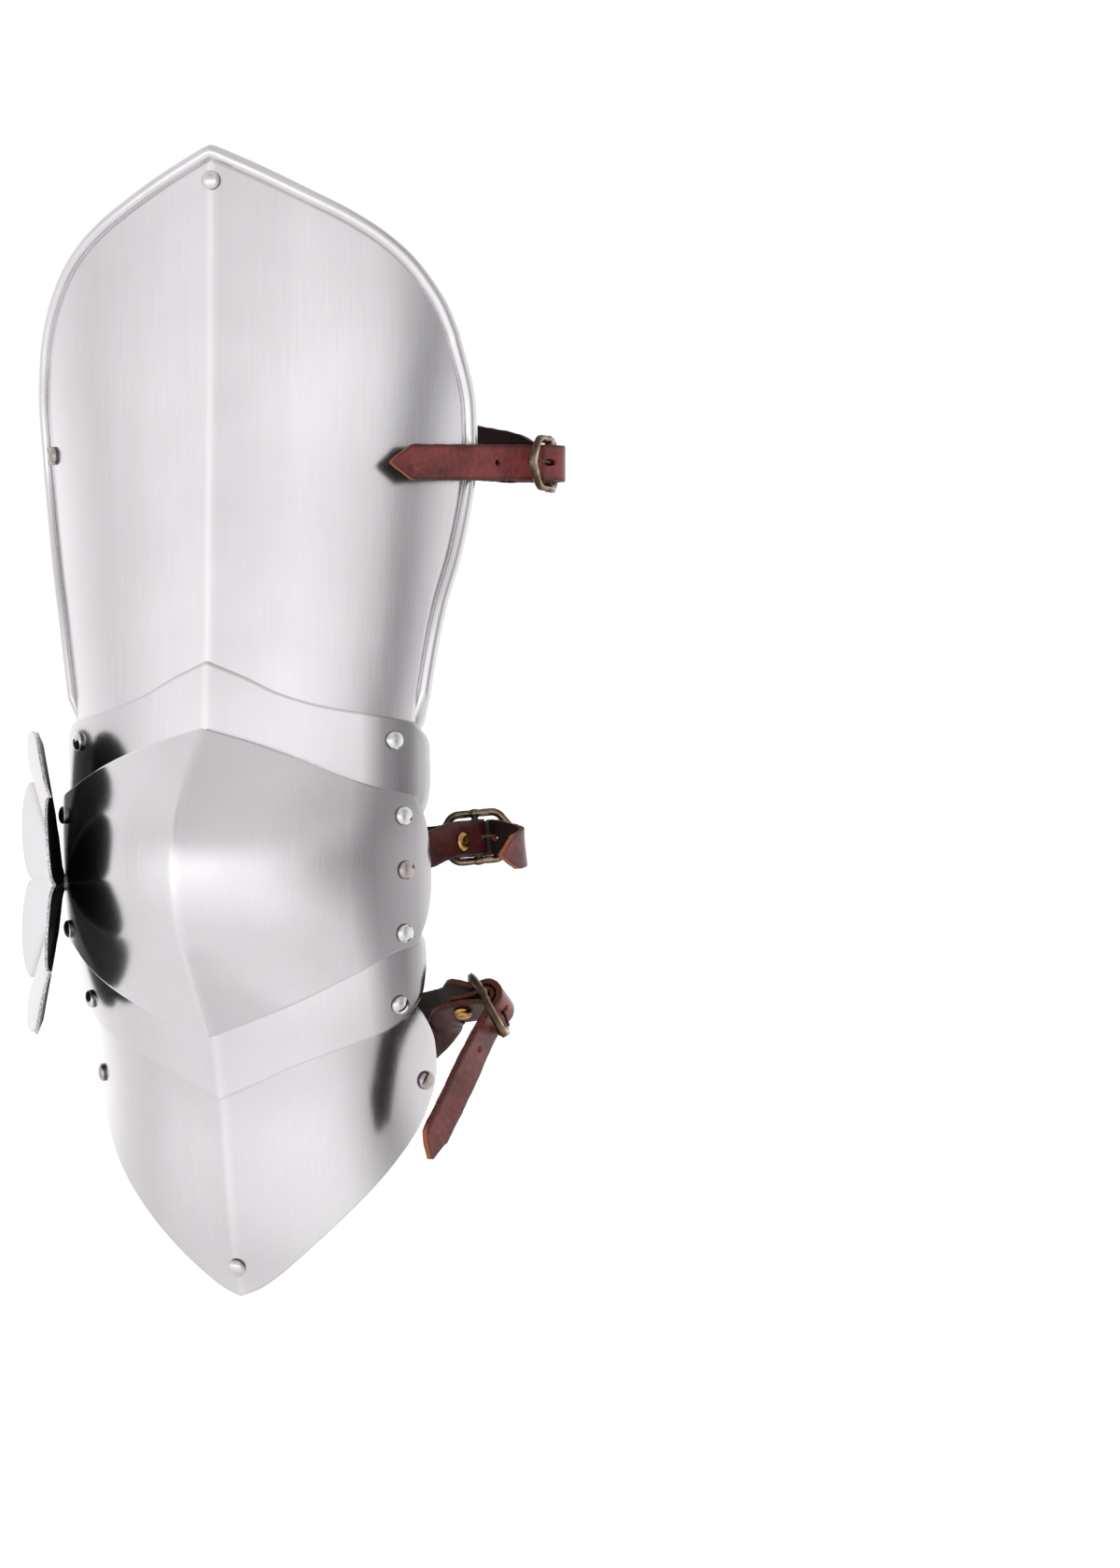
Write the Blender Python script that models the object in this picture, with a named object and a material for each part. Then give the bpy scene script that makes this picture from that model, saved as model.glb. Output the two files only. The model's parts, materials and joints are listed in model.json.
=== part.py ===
"""Gothic cuisse with its articulated poleyn, demi-greave, straps and buckles.

One thigh harness for the wearer's right leg, standing upright.  +Z runs up the leg, the front
of the knee faces -Y, and the fan-shaped side wing is on the outer side, at -X.  The origin is
the centre of the thigh opening, level with the thigh strap and in line with the side edges.
Tables and dimensions are in millimetres; meshes are made in metres.
"""

import math

import bmesh
import bpy
from mathutils import Vector

MM = 0.001

# ---------------------------------------------------------------- driving dimensions
PLATE = 1.2            # sheet thickness of every steel plate
LAYER_FRONT = 2.1      # step from one layer of plate to the next at the ridge
LAYER_SIDE = 3.1       # the same step at the side walls, where the pivots are
SIDE_X = 80.0          # half-width where LAYER_SIDE is reached
RIDGE_SPREAD = 14.0    # how fast the medial crease fades away from the ridge
RIM_WIDTH = 5.8        # rolled rim of the thigh plate
RIM_PROUD = 2.8
RIM_END_Z = -105.0     # the rim is beaten flat below this height, to pass under the lame
RIM_TAPER_Z = -116.0   # and narrows to nothing below this one
HEAD_R = 4.1           # domed rivet head
HEAD_H = 2.6
SHANK_R = 1.9
HOLE_R = 2.2           # hole that holds its rivet
PIVOT_HOLE_R = 2.9     # loose hole that turns about its rivet
GAP = 0.3
STRAP_W = 15.2
STRAP_T = 2.8
CHAPE_T = 2.2
BAR_R = 1.5
FRAME_LONG = 38.0
FRAME_TALL = 24.4
FRAME_BAR = 1.9
FRAME_BEND = 0.11               # each end leans back by this much of its length
# knee pivots: height and distance from the origin plane
PIVOTS = {"upper_lame": (-125.0, -28.0), "poleyn": (-157.0, -27.0),
          "lower_lame": (-207.0, -25.0), "shin_plate": (-237.6, -18.6)}

# outer surface of the innermost layer: ridge position, radius of the section, crease depth
LEG = {
    "z":      (-366.0, -345.0, -310.0, -280.0, -257.0, -237.0, -205.0, -160.0, -120.0,
               -73.0, 0.0, 50.0, 130.0),
    "ridge":  (-22.0, -30.8, -38.5, -43.6, -49.6, -55.4, -59.0, -60.3, -60.2,
               -59.0, -57.2, -56.4, -55.6),
    "radius": (92.0, 95.0, 94.0, 89.0, 87.0, 89.5, 93.5, 98.0, 100.0,
               112.0, 125.0, 141.0, 142.0),
    "crease": (4.5, 4.5, 4.5, 4.5, 4.2, 3.6, 3.0, 2.6, 2.5,
               2.5, 2.5, 2.3, 2.2),
}
# how far the knee dome stands proud of its layer at the ridge, and how round it is there
DOME = {
    "z":     (-253.0, -240.0, -225.0, -202.0, -177.0, -160.0, -140.0, -130.0, -119.0),
    "proud": (1.0, 7.5, 16.0, 29.0, 33.0, 30.5, 19.5, 11.0, 0.5),
    "round": (0.0, 0.15, 0.30, 0.50, 0.60, 0.50, 0.25, 0.12, 0.0),
}
DOME_X = 88.0

# half outlines, from the ridge outwards (half-width x against height z)
CUISSE_TOP = {"x": (0.0, 20.0, 40.5, 57.0, 69.5, 79.0, 85.1, 90.0, 93.3),
              "z": (122.6, 113.4, 103.0, 94.2, 85.5, 76.0, 67.0, 57.5, 47.5)}
CUISSE_SIDE = {"z": (-131.0, -118.0, -102.0, -67.0, -44.0, -11.5, 5.0, 23.5, 47.5),
               "x": (78.0, 78.8, 80.8, 86.6, 91.9, 96.9, 97.8, 97.6, 93.3)}
CUISSE_BOTTOM = {"x": (0.0, 40.0, 78.0), "z": (-128.0, -130.0, -131.0)}
UPPER_TOP = {"x": (0.0, 16.0, 29.5, 44.5, 59.5, 72.5, 80.0),
             "z": (-91.4, -98.0, -104.6, -109.6, -112.8, -115.2, -117.0)}
UPPER_SIDE = {"z": (-163.0, -150.0, -132.0, -124.0, -117.0),
              "x": (80.0, 84.0, 84.6, 84.0, 80.0)}
UPPER_BOTTOM = {"x": (0.0, 40.0, 80.0), "z": (-156.0, -159.0, -163.0)}
POLEYN_TOP = {"x": (0.0, 24.0, 45.0, 60.0, 70.0, 82.5),
              "z": (-119.8, -126.6, -134.2, -140.6, -144.6, -148.5)}
POLEYN_SIDE = {"z": (-212.0, -200.0, -180.0, -160.0, -148.5),
               "x": (81.5, 84.6, 86.2, 85.2, 82.5)}
POLEYN_BOTTOM = {"x": (0.0, 25.0, 40.0, 62.0, 75.0, 81.5),
                 "z": (-251.5, -242.0, -235.6, -223.6, -215.0, -212.0)}
LOWER_TOP = {"x": (0.0, 40.0, 65.0, 77.0), "z": (-229.0, -222.0, -208.0, -201.0)}
LOWER_SIDE = {"z": (-244.0, -236.0, -226.0, -212.0, -201.0),
              "x": (73.5, 78.6, 80.8, 81.6, 77.0)}
LOWER_BOTTOM = {"x": (0.0, 18.0, 30.0, 43.0, 57.0, 67.0, 73.5),
                "z": (-278.8, -270.6, -264.8, -259.6, -254.0, -249.4, -244.0)}
SHIN_TOP = {"x": (0.0, 35.0, 60.0, 73.0), "z": (-254.0, -246.0, -236.0, -231.0)}
SHIN_SIDE = {"z": (-300.0, -293.0, -283.0, -272.0, -256.0, -243.0, -231.0),
             "x": (70.0, 73.4, 76.6, 78.8, 79.4, 77.5, 73.0)}
SHIN_BOTTOM = {"x": (0.0, 8.0, 15.0, 30.0, 46.6, 57.0, 64.0, 70.0),
               "z": (-365.5, -362.5, -358.0, -345.6, -329.8, -318.5, -309.5, -300.0)}

# the side wing
FAN_CENTRE = (-80.0, -186.5)    # where it sits on the outer wall: x, z
FAN_TURN = 61.0                 # degrees that its face is turned from the front
FAN_TIP = 69.0
FAN_NOTCH = 60.0
FAN_FRONT = -0.26                # the front petals are drawn in
FAN_REAR = 0.04
FAN_PETALS = 8
FAN_DISH = 0.17                 # rise of the dish per millimetre of radius
FAN_CREASE = 1.3

# rivets: height, half-width
RIVET_TOP_Z = 113.0
RIVET_THIGH = (2.0, 92.6)
RIVET_THIGH_INNER = -4.2        # height of the chape's rivet on the inner side
RIVET_UPPER = (-125.0, 73.2)
RIVET_POLEYN_UP = (-157.0, 78.6)
RIVET_KNEE_STRAP = (-180.0, 79.2)
RIVET_POLEYN_LOW = (-207.0, 77.8)
RIVET_LOWER = (-238.0, 72.0)
RIVET_CALF = (-272.0, 76.0)
RIVET_POINT_Z = -352.5

STEEL = (0.80, 0.79, 0.81, 0.28, 1.0)
STEEL_DARK = (0.62, 0.60, 0.61, 0.32, 1.0)
BRASS = (0.72, 0.50, 0.22, 0.30, 1.0)
BRONZE = (0.40, 0.33, 0.18, 0.36, 1.0)
LEATHER = (0.16, 0.045, 0.035, 0.48, 0.0)


# ---------------------------------------------------------------- scene helpers
def clear_scene():
    for item in list(bpy.data.objects):
        bpy.data.objects.remove(item, do_unlink=True)


def material(name, look):
    found = bpy.data.materials.get(name)
    if found:
        return found
    made = bpy.data.materials.new(name)
    made.use_nodes = True
    shader = made.node_tree.nodes["Principled BSDF"]
    shader.inputs["Base Color"].default_value = (look[0], look[1], look[2], 1.0)
    shader.inputs["Roughness"].default_value = look[3]
    shader.inputs["Metallic"].default_value = look[4]
    return made


def empty(name, place, parent=None):
    made = bpy.data.objects.new(name, None)
    bpy.context.scene.collection.objects.link(made)
    made.location = Vector(place) * MM
    if parent is not None:
        made.parent = parent
        made.location = (Vector(place) - HINGE_AT[parent.name]) * MM
    HINGE_AT[name] = Vector(place)
    return made


HINGE_AT = {}


def add_object(name, verts, faces, parent, look_name, look, smooth=35.0):
    """One closed mesh, given in world millimetres, hung on its body's hinge."""
    base = HINGE_AT[parent.name]
    mesh = bpy.data.meshes.new(name)
    mesh.from_pydata([tuple((Vector(v) - base) * MM) for v in verts], [], faces)
    work = bmesh.new()
    work.from_mesh(mesh)
    bmesh.ops.recalc_face_normals(work, faces=work.faces)
    work.to_mesh(mesh)
    work.free()
    mesh.shade_smooth()
    mesh.set_sharp_from_angle(angle=math.radians(smooth))
    made = bpy.data.objects.new(name, mesh)
    bpy.context.scene.collection.objects.link(made)
    made.parent = parent
    if look is not None:
        mesh.materials.append(material(look_name, look))
    return made


def cut(target, cutters):
    """Subtract a list of closed (verts, faces) shapes from the object."""
    verts = []
    faces = []
    for shape_verts, shape_faces in cutters:
        start = len(verts)
        verts.extend(shape_verts)
        faces.extend([[i + start for i in face] for face in shape_faces])
    tool = add_object("cut_" + target.name, verts, faces, target.parent, "", None)
    tool.hide_render = True
    tool.display_type = "WIRE"
    tool.hide_set(True)
    step = target.modifiers.new("holes", "BOOLEAN")
    step.operation = "DIFFERENCE"
    step.solver = "EXACT"
    step.object = tool


# ---------------------------------------------------------------- curves and surfaces
def read(table, by, column, value):
    """Smooth value of a table's column; the rows are joined by a Catmull-Rom curve."""
    keys = table[by]
    data = table[column]
    if value <= keys[0]:
        return data[0]
    if value >= keys[-1]:
        return data[-1]
    i = 0
    while value > keys[i + 1]:
        i += 1
    step = keys[i + 1] - keys[i]
    t = (value - keys[i]) / step
    slope = (data[i + 1] - data[i]) / step
    before = (data[i] - data[i - 1]) / (keys[i] - keys[i - 1]) if i > 0 else slope
    after = slope
    if i + 2 < len(keys):
        after = (data[i + 2] - data[i + 1]) / (keys[i + 2] - keys[i + 1])
    m0 = 0.0 if before * slope <= 0 else 0.5 * (before + slope)
    m1 = 0.0 if after * slope <= 0 else 0.5 * (after + slope)
    if i == 0:
        m0 = slope
    if i + 2 == len(keys):
        m1 = slope
    h00 = 2 * t ** 3 - 3 * t ** 2 + 1
    h10 = t ** 3 - 2 * t ** 2 + t
    h01 = -2 * t ** 3 + 3 * t ** 2
    h11 = t ** 3 - t ** 2
    return h00 * data[i] + h10 * step * m0 + h01 * data[i + 1] + h11 * step * m1


def leg_y(x, z, layer=0, dome=False):
    """Front surface of the leg at half-width x and height z, on a given layer of plate."""
    x = abs(x)
    layer_step = LAYER_FRONT + (LAYER_SIDE - LAYER_FRONT) * min(1.0, (x / SIDE_X) ** 2)
    ridge = read(LEG, "z", "ridge", z)
    radius = read(LEG, "z", "radius", z)
    crease = read(LEG, "z", "crease", z)
    y = ridge + radius - math.sqrt(radius ** 2 - min(x, radius - 2) ** 2)
    y += crease * (1.0 - math.exp(-x / RIDGE_SPREAD))
    slope = x / radius
    y -= layer * layer_step / max(0.45, math.sqrt(1.0 - slope ** 2)) if layer else 0.0
    if dome:
        t = min(1.0, x / DOME_X)
        rounding = read(DOME, "z", "round", z)
        y -= read(DOME, "z", "proud", z) * (1.0 - t) * (1.0 + rounding * t)
    return y


def leg_point(x, z, layer=0, dome=False):
    return Vector((x, leg_y(x, z, layer, dome), z))


def leg_normal(x, z, layer=0, dome=False):
    d = 1.0
    if abs(x) < 2.0:
        across = Vector((1.0, 0.0, 0.0))
    else:
        across = leg_point(x + d, z, layer, dome) - leg_point(x - d, z, layer, dome)
    up = leg_point(x, z + d, layer, dome) - leg_point(x, z - d, layer, dome)
    return across.cross(up).normalized()


def spaced(count, crowd=0.0):
    """Values from 0 to 1, crowded towards 1 when crowd is positive."""
    out = []
    for i in range(count + 1):
        t = i / count
        out.append(t + crowd * t * (1.0 - t))
    return out


def half_patch(top, side, bottom, columns, rows, crowd):
    """Half-outline filled as a four-sided patch; rows from the bottom edge to the top edge."""
    top_x = top["x"][-1]
    bottom_x = bottom["x"][-1]
    side_z0 = side["z"][0]
    side_z1 = side["z"][-1]
    centre0 = bottom["z"][0]
    centre1 = top["z"][0]
    grid = []
    for v in spaced(rows):
        line = []
        side_z = side_z0 + v * (side_z1 - side_z0)
        side_x = read(side, "z", "x", side_z)
        centre_z = centre0 + v * (centre1 - centre0)
        for s in spaced(columns, crowd):
            bx = s * bottom_x
            tx = s * top_x
            bz = read(bottom, "x", "z", bx)
            tz = read(top, "x", "z", tx)
            x = (1 - v) * bx + v * tx + s * side_x
            x -= s * ((1 - v) * bottom_x + v * top_x)
            z = (1 - v) * bz + v * tz + (1 - s) * centre_z + s * side_z
            z -= (1 - s) * ((1 - v) * centre0 + v * centre1)
            z -= s * ((1 - v) * side_z0 + v * side_z1)
            line.append((x, z))
        grid.append(line)
    return grid


def full_grid(half):
    return [[(-x, z) for x, z in reversed(line[1:])] + line for line in half]


def sheet(grid, layer, dome, rim=False):
    """Closed solid of one plate: outer skin, inner skin and the edge that joins them."""
    rows = len(grid)
    cols = len(grid[0])
    outer = []
    normals = []
    for line in grid:
        for x, z in line:
            outer.append(leg_point(x, z, layer, dome))
            normals.append(leg_normal(x, z, layer, dome))
    verts = list(outer)
    verts += [p - n * PLATE for p, n in zip(outer, normals)]
    half = rows * cols
    faces = []
    for r in range(rows - 1):
        for c in range(cols - 1):
            a = r * cols + c
            quad = (a, a + 1, a + cols + 1, a + cols)
            faces.append(quad)
            faces.append(tuple(half + i for i in reversed(quad)))
    side = [r * cols for r in range(rows)]
    side += [(rows - 1) * cols + c for c in range(1, cols)]
    side += [r * cols + cols - 1 for r in range(rows - 2, -1, -1)]
    floor = list(range(cols))
    loops = [[i for i in side]]
    if rim:
        loops += rim_loops(side, outer, normals, verts)
    loops.append([half + i for i in side])
    for a, b in zip(loops, loops[1:]):
        for k in range(len(a) - 1):
            faces.append((a[k], a[k + 1], b[k + 1], b[k]))
    if rim:
        faces.append(tuple(loop[0] for loop in loops))
        faces.append(tuple(loop[-1] for loop in loops))
    for a, b in zip(floor, floor[1:]):
        faces.append((a, b, half + b, half + a))
    return verts, faces


def rim_loops(side, outer, normals, verts):
    """The rolled rim: an oval bead that follows the plate's side and top edges."""
    bead = []
    for degrees in (160.0, 108.0, 56.0, 4.0, -52.0, -108.0):
        a = math.radians(degrees)
        half_h = (RIM_PROUD + PLATE) / 2.0
        bead.append((RIM_WIDTH / 2 * (1 + math.cos(a)), half_h * math.sin(a) + half_h - PLATE))
    loops = [[] for _ in bead]
    count = len(side)
    for k, index in enumerate(side):
        here = outer[index]
        before = outer[side[max(0, k - 1)]]
        after = outer[side[min(count - 1, k + 1)]]
        to_before = (here - before)
        to_after = (after - here)
        along = Vector((0.0, 0.0, 0.0))
        if to_before.length > 1e-6:
            along += to_before.normalized()
        if to_after.length > 1e-6:
            along += to_after.normalized()
        stretch = 2.0 / along.length if to_before.length > 1e-6 and to_after.length > 1e-6 else 1.0
        along.normalize()
        normal = normals[index]
        out = normal.cross(along).normalized() * -1.0
        if out.dot(here - Vector((0.0, here.y, -10.0))) < 0:
            out.negate()
        high = min(1.0, max(0.0, (here.z - (RIM_END_Z - 9.0)) / 9.0))
        wide = min(1.0, max(0.0, (here.z - (RIM_TAPER_Z - 14.0)) / 14.0))
        for j, (b, n) in enumerate(bead):
            flat_b = 0.25 * math.sin(math.pi * (j + 1) / (len(bead) + 1))
            flat_n = -PLATE * (j + 1) / (len(bead) + 1)
            bb = (flat_b + (b - flat_b) * wide) * min(stretch, 1.3)
            nn = flat_n + (n - flat_n) * high
            loops[j].append(len(verts))
            verts.append(here + out * bb + normal * nn)
    return loops


# ---------------------------------------------------------------- rivets
def turned(profile, centre, axis, sides=10):
    """Solid of revolution: profile rows are (radius, height along the axis)."""
    axis = axis.normalized()
    ref = Vector((0.0, 0.0, 1.0)) if abs(axis.z) < 0.9 else Vector((0.0, 1.0, 0.0))
    u = axis.cross(ref).normalized()
    v = axis.cross(u).normalized()
    verts = []
    faces = []
    rings = []
    for radius, height in profile:
        if radius == 0.0:
            rings.append([len(verts)])
            verts.append(centre + axis * height)
            continue
        ring = []
        for k in range(sides):
            a = 2 * math.pi * k / sides
            ring.append(len(verts))
            verts.append(centre + axis * height + (u * math.cos(a) + v * math.sin(a)) * radius)
        rings.append(ring)
    for a, b in zip(rings, rings[1:]):
        for k in range(sides):
            m = (k + 1) % sides
            if len(a) == 1:
                faces.append((a[0], b[k], b[m]))
            elif len(b) == 1:
                faces.append((a[k], a[m], b[0]))
            else:
                faces.append((a[k], a[m], b[m], b[k]))
    return verts, faces


def rivet_profile(grip, head_r=HEAD_R, head_h=HEAD_H):
    """Domed head outside, shank of the given grip, and a low peened head inside."""
    return [(0.0, GAP + head_h), (head_r * 0.62, GAP + head_h * 0.78), (head_r, GAP + 0.3),
            (SHANK_R, GAP), (SHANK_R, -grip), (3.6, -grip), (2.6, -grip - 1.1),
            (0.0, -grip - 1.1)]


def hole(centre, axis, radius, depth=6.0):
    return turned([(0.0, depth), (radius, depth), (radius, -depth), (0.0, -depth)],
                  centre, axis, 12)


def add_rivet(name, x, z, layer, dome, grip, parent, look=STEEL, look_name="steel"):
    centre = leg_point(x, z, layer, dome)
    axis = leg_normal(x, z, layer, dome)
    verts, faces = turned(rivet_profile(grip), centre, axis)
    add_object(name, verts, faces, parent, look_name, look, 50.0)
    return centre, axis


# ---------------------------------------------------------------- leather
def smooth_path(rows, step=9.0):
    """Even stations along a smooth curve through rows of (place, width direction)."""
    stations = []
    count = len(rows)
    for i in range(count - 1):
        p0 = rows[max(0, i - 1)][0]
        p1, w1 = rows[i]
        p2, w2 = rows[i + 1]
        p3 = rows[min(count - 1, i + 2)][0]
        turn = 0.0
        if (p1 - p0).length > 0.1 and (p3 - p2).length > 0.1:
            turn = math.degrees((p1 - p0).angle(p2 - p1) + (p2 - p1).angle(p3 - p2)) / 2
        parts = max(1, math.ceil((p2 - p1).length / step), math.ceil(turn / 30.0))
        d = (p2 - p1).length
        m1 = (p2 - p0).normalized() * d if (p2 - p0).length > 0 else p2 - p1
        m2 = (p3 - p1).normalized() * d
        if i == 0:
            m1 = (p2 - p1) * 1.0
        if i == count - 2:
            m2 = (p2 - p1) * 1.0
        for k in range(parts):
            t = k / parts
            point = (p1 * (2 * t ** 3 - 3 * t ** 2 + 1) + m1 * (t ** 3 - 2 * t ** 2 + t)
                     + p2 * (-2 * t ** 3 + 3 * t ** 2) + m2 * (t ** 3 - t ** 2))
            stations.append((point, (w1 * (1 - t) + w2 * t).normalized()))
    stations.append((rows[-1][0], rows[-1][1].normalized()))
    return stations


def ribbon(stations, thickness, width, point_length=0.0):
    """Strap of rectangular section; its far end is cut to a point."""
    count = len(stations)
    length = [0.0]
    for (a, _), (b, _) in zip(stations, stations[1:]):
        length.append(length[-1] + (b - a).length)
    verts = []
    faces = []
    for i, (place, across) in enumerate(stations):
        ahead = stations[min(count - 1, i + 1)][0] - stations[max(0, i - 1)][0]
        ahead.normalize()
        across = (across - ahead * across.dot(ahead)).normalized()
        face = ahead.cross(across).normalized()
        half = width / 2.0
        left = length[-1] - length[i]
        if point_length and left < point_length:
            half = max(0.5, half * left / point_length)
        for side, level in ((1, 1), (-1, 1), (-1, -1), (1, -1)):
            verts.append(place + across * side * half + face * level * thickness / 2.0)
    for i in range(count - 1):
        a = 4 * i
        for k in range(4):
            m = (k + 1) % 4
            faces.append((a + k, a + m, a + 4 + m, a + 4 + k))
    faces.append((0, 1, 2, 3))
    faces.append((4 * count - 4, 4 * count - 3, 4 * count - 2, 4 * count - 1))
    return verts, faces


class BuckleFrame:
    """Local axes of one buckle: along its length, along its bars, and out of its face."""

    def __init__(self, centre, along, bars):
        self.centre = Vector(centre)
        self.along = Vector(along).normalized()
        self.bars = Vector(bars)
        self.bars = (self.bars - self.along * self.bars.dot(self.along)).normalized()
        self.out = self.along.cross(self.bars).normalized()

    def at(self, along, out, bars=0.0):
        return self.centre + self.along * along + self.out * out + self.bars * bars

    def swung(self, degrees):
        """The same place turned about the centre bar, for a chape that leaves at an angle."""
        turned_to = BuckleFrame(self.centre, self.along, self.bars)
        c, s = math.cos(math.radians(degrees)), math.sin(math.radians(degrees))
        turned_to.along = self.along * c + self.out * s
        turned_to.out = self.out * c - self.along * s
        return turned_to


def tube(points, radii, closed, sides, ups):
    """Round or faceted bar swept along points; ups gives the section's upright."""
    verts = []
    faces = []
    count = len(points)
    for i, point in enumerate(points):
        before = points[i - 1] if closed or i > 0 else points[i]
        after = points[(i + 1) % count] if closed or i < count - 1 else points[i]
        ahead = (after - before).normalized()
        up = (ups[i] - ahead * ups[i].dot(ahead)).normalized()
        side = ahead.cross(up)
        for k in range(sides):
            a = 2 * math.pi * (k + 0.5) / sides
            verts.append(point + (up * math.sin(a) + side * math.cos(a)) * radii[i])
    spans = count if closed else count - 1
    for i in range(spans):
        n = (i + 1) % count
        for k in range(sides):
            m = (k + 1) % sides
            faces.append((i * sides + k, i * sides + m, n * sides + m, n * sides + k))
    if not closed:
        faces.append(tuple(range(sides)))
        faces.append(tuple((count - 1) * sides + k for k in range(sides)))
    return verts, faces


def frame_outline():
    """Long hexagon with a blunt point at each end: rows of (along, bars)."""
    long = FRAME_LONG / 2 - FRAME_BAR - 0.1
    tall = FRAME_TALL / 2 - FRAME_BAR
    half = [(long, 0.0), (long - 1.1, 1.9), (10.8, tall - 1.3), (8.4, tall), (0.0, tall),
            (-8.4, tall), (-10.8, tall - 1.3), (1.1 - long, 1.9)]
    return half + [(-a, -b) for a, b in half]


def add_buckle(name, place, parent):
    """Double-loop frame: a faceted ring with a bar across it, both ends bent a little back."""
    rows = frame_outline()
    points = [place.at(a, -FRAME_BEND * abs(a), b) for a, b in rows]
    radii = [FRAME_BAR + 0.06 * max(0.0, abs(a) - 12.0) for a, b in rows]
    ring = tube(points, radii, True, 6, [place.out] * len(points))
    made = add_object(name, ring[0], ring[1], parent, "antique_brass", BRONZE, 50.0)
    reach = FRAME_TALL / 2 - FRAME_BAR
    ends = [place.at(0.0, 0.0, -reach), place.at(0.0, 0.0, reach)]
    bar = tube(ends, [BAR_R, BAR_R], False, 8, [place.out, place.out])
    tool = add_object("bar_" + name, bar[0], bar[1], parent, "", None)
    tool.hide_render = True
    tool.display_type = "WIRE"
    tool.hide_set(True)
    join = made.modifiers.new("bar", "BOOLEAN")
    join.operation = "UNION"
    join.solver = "EXACT"
    join.object = tool
    return made


def add_tongue(name, place, parent):
    """Pin: an eye round the centre bar, then a straight prong through the strap."""
    eye = BAR_R + GAP + 0.9
    path = []
    for degrees in (-100, -130, -165, 160, 125, 90):
        a = math.radians(degrees)
        path.append(place.at(eye * math.cos(a), eye * math.sin(a)))
    path.append(place.at(5.0, 2.9))
    path.append(place.at(9.5, 2.7))
    path.append(place.at(15.3, 1.7))
    radii = [0.8] * (len(path) - 1) + [0.55]
    verts, faces = tube(path, radii, False, 6, [place.bars] * len(path))
    return add_object(name, verts, faces, parent, "antique_brass", BRONZE, 50.0)


# ---------------------------------------------------------------- bodies and hinges
clear_scene()
root = empty("thigh", (0.0, 0.0, 0.0))
hinge_upper = empty("hinge_upper_lame", (0.0, PIVOTS["upper_lame"][1], PIVOTS["upper_lame"][0]), root)
hinge_poleyn = empty("hinge_poleyn", (0.0, PIVOTS["poleyn"][1], PIVOTS["poleyn"][0]), hinge_upper)
hinge_lower = empty("hinge_lower_lame", (0.0, PIVOTS["lower_lame"][1], PIVOTS["lower_lame"][0]),
                    hinge_poleyn)
hinge_shin = empty("hinge_shin_plate", (0.0, PIVOTS["shin_plate"][1], PIVOTS["shin_plate"][0]),
                   hinge_lower)

# ---------------------------------------------------------------- plates
grid = full_grid(half_patch(CUISSE_TOP, CUISSE_SIDE, CUISSE_BOTTOM, 9, 13, 0.35))
cuisse = add_object("cuisse_plate", *sheet(grid, 0, False, rim=True), root, "steel_plate", STEEL)
grid = full_grid(half_patch(UPPER_TOP, UPPER_SIDE, UPPER_BOTTOM, 9, 4, 0.35))
upper = add_object("upper_lame", *sheet(grid, 1, False), hinge_upper, "steel_plate", STEEL)
grid = full_grid(half_patch(POLEYN_TOP, POLEYN_SIDE, POLEYN_BOTTOM, 9, 9, 0.25))
poleyn = add_object("poleyn", *sheet(grid, 2, True), hinge_poleyn, "steel_plate", STEEL)
grid = full_grid(half_patch(LOWER_TOP, LOWER_SIDE, LOWER_BOTTOM, 9, 4, 0.35))
lower = add_object("lower_lame", *sheet(grid, 1, False), hinge_lower, "steel_plate", STEEL)
grid = full_grid(half_patch(SHIN_TOP, SHIN_SIDE, SHIN_BOTTOM, 9, 6, 0.3))
shin = add_object("shin_plate", *sheet(grid, 0, False), hinge_shin, "steel_plate", STEEL)

# ---------------------------------------------------------------- steel rivets and their holes
STRAP_GRIP = PLATE + 0.9 + STRAP_T + GAP
CHAPE_GRIP = PLATE + 0.9 + CHAPE_T + GAP
holes = {name: [] for name in ("cuisse", "upper", "poleyn", "lower", "shin")}


def pivot_pair(label, spot, outer_layer, inner_layer, outer_dome, parent, outer_key, inner_key,
               play=1.3):
    """Two rivets held by the outer plate; the inner plate turns about them."""
    z, x = spot
    for word, sign in (("outer", -1.0), ("inner", 1.0)):
        centre = leg_point(sign * x, z, outer_layer, outer_dome)
        axis = leg_normal(sign * x, z, outer_layer, outer_dome)
        best = 0.0
        for k in range(1, 120):
            best = k * 0.1
            probe = centre - axis * best
            if probe.y > leg_y(probe.x, probe.z, inner_layer, False):
                break
        grip = best + PLATE + play
        add_rivet("rivet_%s_%s" % (label, word), sign * x, z, outer_layer, outer_dome, grip,
                  parent)
        holes[outer_key].append(hole(centre, axis, HOLE_R, 2.6))
        holes[inner_key].append(hole(centre - axis * (best + 0.6), axis, PIVOT_HOLE_R, 2.6))


pivot_pair("upper_lame", RIVET_UPPER, 1, 0, False, hinge_upper, "upper", "cuisse")
pivot_pair("poleyn_top", RIVET_POLEYN_UP, 2, 1, True, hinge_poleyn, "poleyn", "upper")
pivot_pair("poleyn_low", RIVET_POLEYN_LOW, 2, 1, True, hinge_poleyn, "poleyn", "lower")
pivot_pair("lower_lame", RIVET_LOWER, 1, 0, False, hinge_lower, "lower", "shin", 1.7)

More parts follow.
